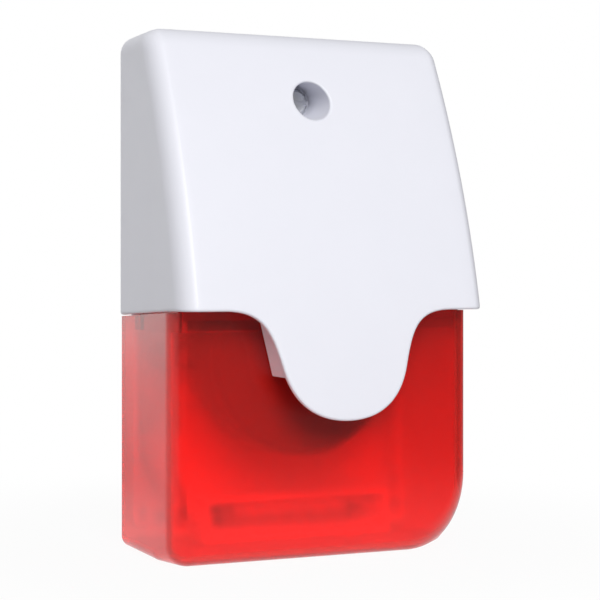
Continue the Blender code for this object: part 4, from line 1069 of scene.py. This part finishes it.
NODE_GROUPS = {
    "white_plastic": ("base_plate", "tamper_plunger"),
    "dark_plastic": ("horn_body", "piezo_clamp_ring", "screw_retainer", "tamper_switch"),
    "brass": ("piezo_diaphragm",),
    "ceramic": ("piezo_ceramic", "flash_tube_cap_left", "flash_tube_cap_right"),
    "board": ("circuit_board",),
    "terminal_plastic": ("terminal_block",),
    "ferrite": ("transformer_core",),
    "winding_tape": ("transformer_winding",),
    "coil": ("trigger_coil",),
    "sleeve": ("strobe_capacitor", "filter_capacitor"),
    "mirror": ("strobe_reflector",),
    "red_lead": ("piezo_lead_red", "strobe_lead_right"),
    "black_lead": ("piezo_lead_black", "strobe_lead_left"),
    "epoxy": ("driver_chip", "switching_transistor")}
NODE_LOOKS = {name: look for look, names in NODE_GROUPS.items() for name in names}


def build_inside():
    """Fine pieces inside the siren, each listed with its finish and a slot name that nothing here
    applies.
    """
    legs, joints = legs_and_joints()
    tracks, rings = board_tracks()
    glass, electrodes = flash_tube()
    strobe_top = scored_top("fine_strobe_top", STROBE_CAN, STROBE_SCORED, "Z", STROBE_TOP, 1)
    filter_top = scored_top("fine_filter_top", FILTER_CAN, FILTER_SCORED, "Y", -FILTER_TOP, -1)
    stripes = gather("fine_stripes", [
        sleeve_stripe(STROBE_CAN, STROBE_RADIUS, "Z", *STROBE_STRIPE),
        sleeve_stripe(FILTER_CAN, FILTER_RADIUS, "Y", *FILTER_STRIPE)])
    pieces = [(legs, "tin", "zinc_steel"), (joints, "tin", "zinc_steel"),
              (tracks, "track", "board"), (rings, "tin", "zinc_steel"),
              (glass, "glass", "glass"), (electrodes, "tin", "zinc_steel"),
              (strobe_top, "aluminium", "zinc_steel"), (filter_top, "aluminium", "zinc_steel"),
              (stripes, "stripe", "white_plastic"), (clamp_cages(), "tin", "zinc_steel")]
    for piece, _, slot in pieces:
        shade(piece)
        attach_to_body(piece, "base")
    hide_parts("flash_tube")
    return pieces


def dress_all(fine, inside):
    """Give every piece that shows its finish."""
    looks = palette()
    group = smoothing()
    for name, node in nodes.items():
        if name in fine or name == "flash_tube":
            continue
        wear(node, looks[NODE_LOOKS.get(name, "zinc_steel")])
        node.modifiers.new("smooth", "NODES").node_group = group
    for node, slot in (("front_cover", "white_plastic"), ("strobe_lens", "red_lens")):
        wear(fine[node], looks[slot])
    for piece, look, _ in inside:
        wear(piece, looks[look])


# Camera and light

CAMERA_TURN = math.radians(23.3)
CAMERA_DISTANCE = 404.0
CAMERA_HEIGHT = 65.6
FOCAL_PIXELS = 1624.0
IMAGE_SIDE = 600.0
CENTRE_COLUMN = 264.5
CENTRE_ROW = 272.2
AMBIENT = 0.26  # the world's strength as a light
DIM_SIDE = 0.22  # and away from its bright side, as a gloss or a clear piece sees it
BRIGHT_SIDE = (-0.77, 0.57, 0.29)
BRIGHT_SPAN = (0.1, 0.75)
LAMP_AIM = (0, 0, 60)
KEY_SPOT = (-270, -1030, 650)
KEY_SIDE, KEY_WATTS = 0.6, 11.7  # the side of the lamp in metres
SHEEN_SPOT = (-420, 950, 120)
SHEEN_SIDE, SHEEN_WATTS = 0.4, 0.35
FLOOR_DROP = 0.4
FLOOR_HALVES = (0.62, 0.6)  # in metres, as are the place of its middle and the spans
FLOOR_BACK = 0.44
FLOOR_SIDES = 96
FLOOR_NEAR = 0.95  # shares of white, near the siren and far from it
FLOOR_FAR = 0.1
DIRECT_SPAN, NEAR_SPAN, LEFT_SPAN = (0.05, 0.15), (0.06, 0.2), (-0.16, -0.03)


def add_camera():
    data = bpy.data.cameras.new("camera")
    data.sensor_width = 36.0
    data.lens = FOCAL_PIXELS / IMAGE_SIDE * data.sensor_width
    data.shift_x = (IMAGE_SIDE / 2 - CENTRE_COLUMN) / IMAGE_SIDE
    data.shift_y = (CENTRE_ROW - IMAGE_SIDE / 2) / IMAGE_SIDE
    data.clip_start = 0.01
    camera = bpy.data.objects.new("camera", data)
    left = -CAMERA_DISTANCE * math.sin(CAMERA_TURN)
    near = -CAMERA_DISTANCE * math.cos(CAMERA_TURN)
    camera.location = place(left, near, CAMERA_HEIGHT)
    camera.rotation_euler = (math.pi / 2, 0.0, -CAMERA_TURN)
    bpy.context.scene.collection.objects.link(camera)
    bpy.context.scene.camera = camera


def add_panel(name, spot, side, watts):
    """A square lamp that faces the siren."""
    data = bpy.data.lights.new(name, "AREA")
    data.size = side
    data.energy = watts
    lamp = bpy.data.objects.new(name, data)
    lamp.location = place(*spot)
    way = place(*LAMP_AIM) - place(*spot)
    lamp.rotation_euler = way.to_track_quat("-Z", "Y").to_euler()
    bpy.context.scene.collection.objects.link(lamp)


def bounced_ray(tree):
    """A value of 1 for rays from a gloss or through a clear piece."""
    path = tree.nodes.new("ShaderNodeLightPath").outputs
    return calculate(tree, "MAXIMUM", path["Is Glossy Ray"], path["Is Transmission Ray"])


def seen_ray(tree):
    """A value of 1 for rays that show the background: from the camera, a gloss or a clear piece."""
    path = tree.nodes.new("ShaderNodeLightPath").outputs
    return calculate(tree, "MAXIMUM", path["Is Camera Ray"], bounced_ray(tree))


def add_world():
    """White where it is seen; a gloss or a clear piece sees it bright at the back left only."""
    world = bpy.data.worlds.new("studio")
    bpy.context.scene.world = world
    world.use_nodes = True
    tree = world.node_tree
    make, link = tree.nodes.new, tree.links.new
    background = tree.nodes["Background"]
    background.inputs["Color"].default_value = (1.0, 1.0, 1.0, 1.0)
    way = make("ShaderNodeTexCoord")
    towards = make("ShaderNodeVectorMath")
    towards.operation = "DOT_PRODUCT"
    towards.inputs[1].default_value = BRIGHT_SIDE
    link(way.outputs["Generated"], towards.inputs[0])
    change = make("ShaderNodeMix")
    change.inputs["A"].default_value = 1.0
    link(bounced_ray(tree), change.inputs["Factor"])
    link(ranged(tree, towards.outputs["Value"], DIM_SIDE, 1.0, BRIGHT_SPAN), change.inputs["B"])
    level = ranged(tree, seen_ray(tree), AMBIENT, 1.0)
    strength = calculate(tree, "MULTIPLY", level, change.outputs["Result"])
    link(strength, background.inputs["Strength"])


def floor_material():
    """White to the camera; a gloss or a clear piece sees it darken away from the siren's left."""
    material, tree, shader = new_material("pale floor", (0.7, 0.7, 0.7), 0.9)
    make, link = tree.nodes.new, tree.links.new
    spot = make("ShaderNodeTexCoord").outputs["Object"]
    reach = make("ShaderNodeVectorMath")
    reach.operation = "LENGTH"
    link(spot, reach.inputs[0])
    across = make("ShaderNodeSeparateXYZ")
    link(spot, across.inputs[0])
    direct = ranged(tree, reach.outputs["Value"], FLOOR_NEAR, 1.0, DIRECT_SPAN)
    near = ranged(tree, reach.outputs["Value"], FLOOR_NEAR, FLOOR_FAR, NEAR_SPAN)
    left = ranged(tree, across.outputs["X"], FLOOR_NEAR, FLOOR_FAR, LEFT_SPAN)
    path = make("ShaderNodeLightPath")
    share = make("ShaderNodeMix")
    link(path.outputs["Is Camera Ray"], share.inputs["Factor"])
    link(calculate(tree, "MAXIMUM", near, left), share.inputs["A"])
    link(direct, share.inputs["B"])
    seen = calculate(tree, "MULTIPLY", share.outputs["Result"], seen_ray(tree))
    surface_mix(tree, seen, shader, make("ShaderNodeEmission"))
    return material


def add_floor():
    mesh = bpy.data.meshes.new("floor")
    bm = bmesh.new()
    rim = []
    for turn in circle(FLOOR_SIDES):
        x, y = FLOOR_HALVES[0] * math.cos(turn), FLOOR_BACK + FLOOR_HALVES[1] * math.sin(turn)
        rim.append(bm.verts.new((x, y, 0.0)))
    bm.faces.new(rim)
    bm.to_mesh(mesh)
    bm.free()
    mesh.materials.append(floor_material())
    floor = bpy.data.objects.new("floor", mesh)
    floor.location = place(0.0, 0.0, -FLOOR_DROP)
    bpy.context.scene.collection.objects.link(floor)


# Scene

def main():
    bpy.context.scene.view_settings.view_transform = "Standard"
    add_camera()
    add_world()
    add_floor()
    add_panel("key", KEY_SPOT, KEY_SIDE, KEY_WATTS)
    add_panel("side sheen", SHEEN_SPOT, SHEEN_SIDE, SHEEN_WATTS)
    fine = {"front_cover": build_cover(), "strobe_lens": build_lens()}
    for node, piece in fine.items():
        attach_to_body(piece, "cover")
        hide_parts(node)
    dress_all(fine, build_inside())


main()
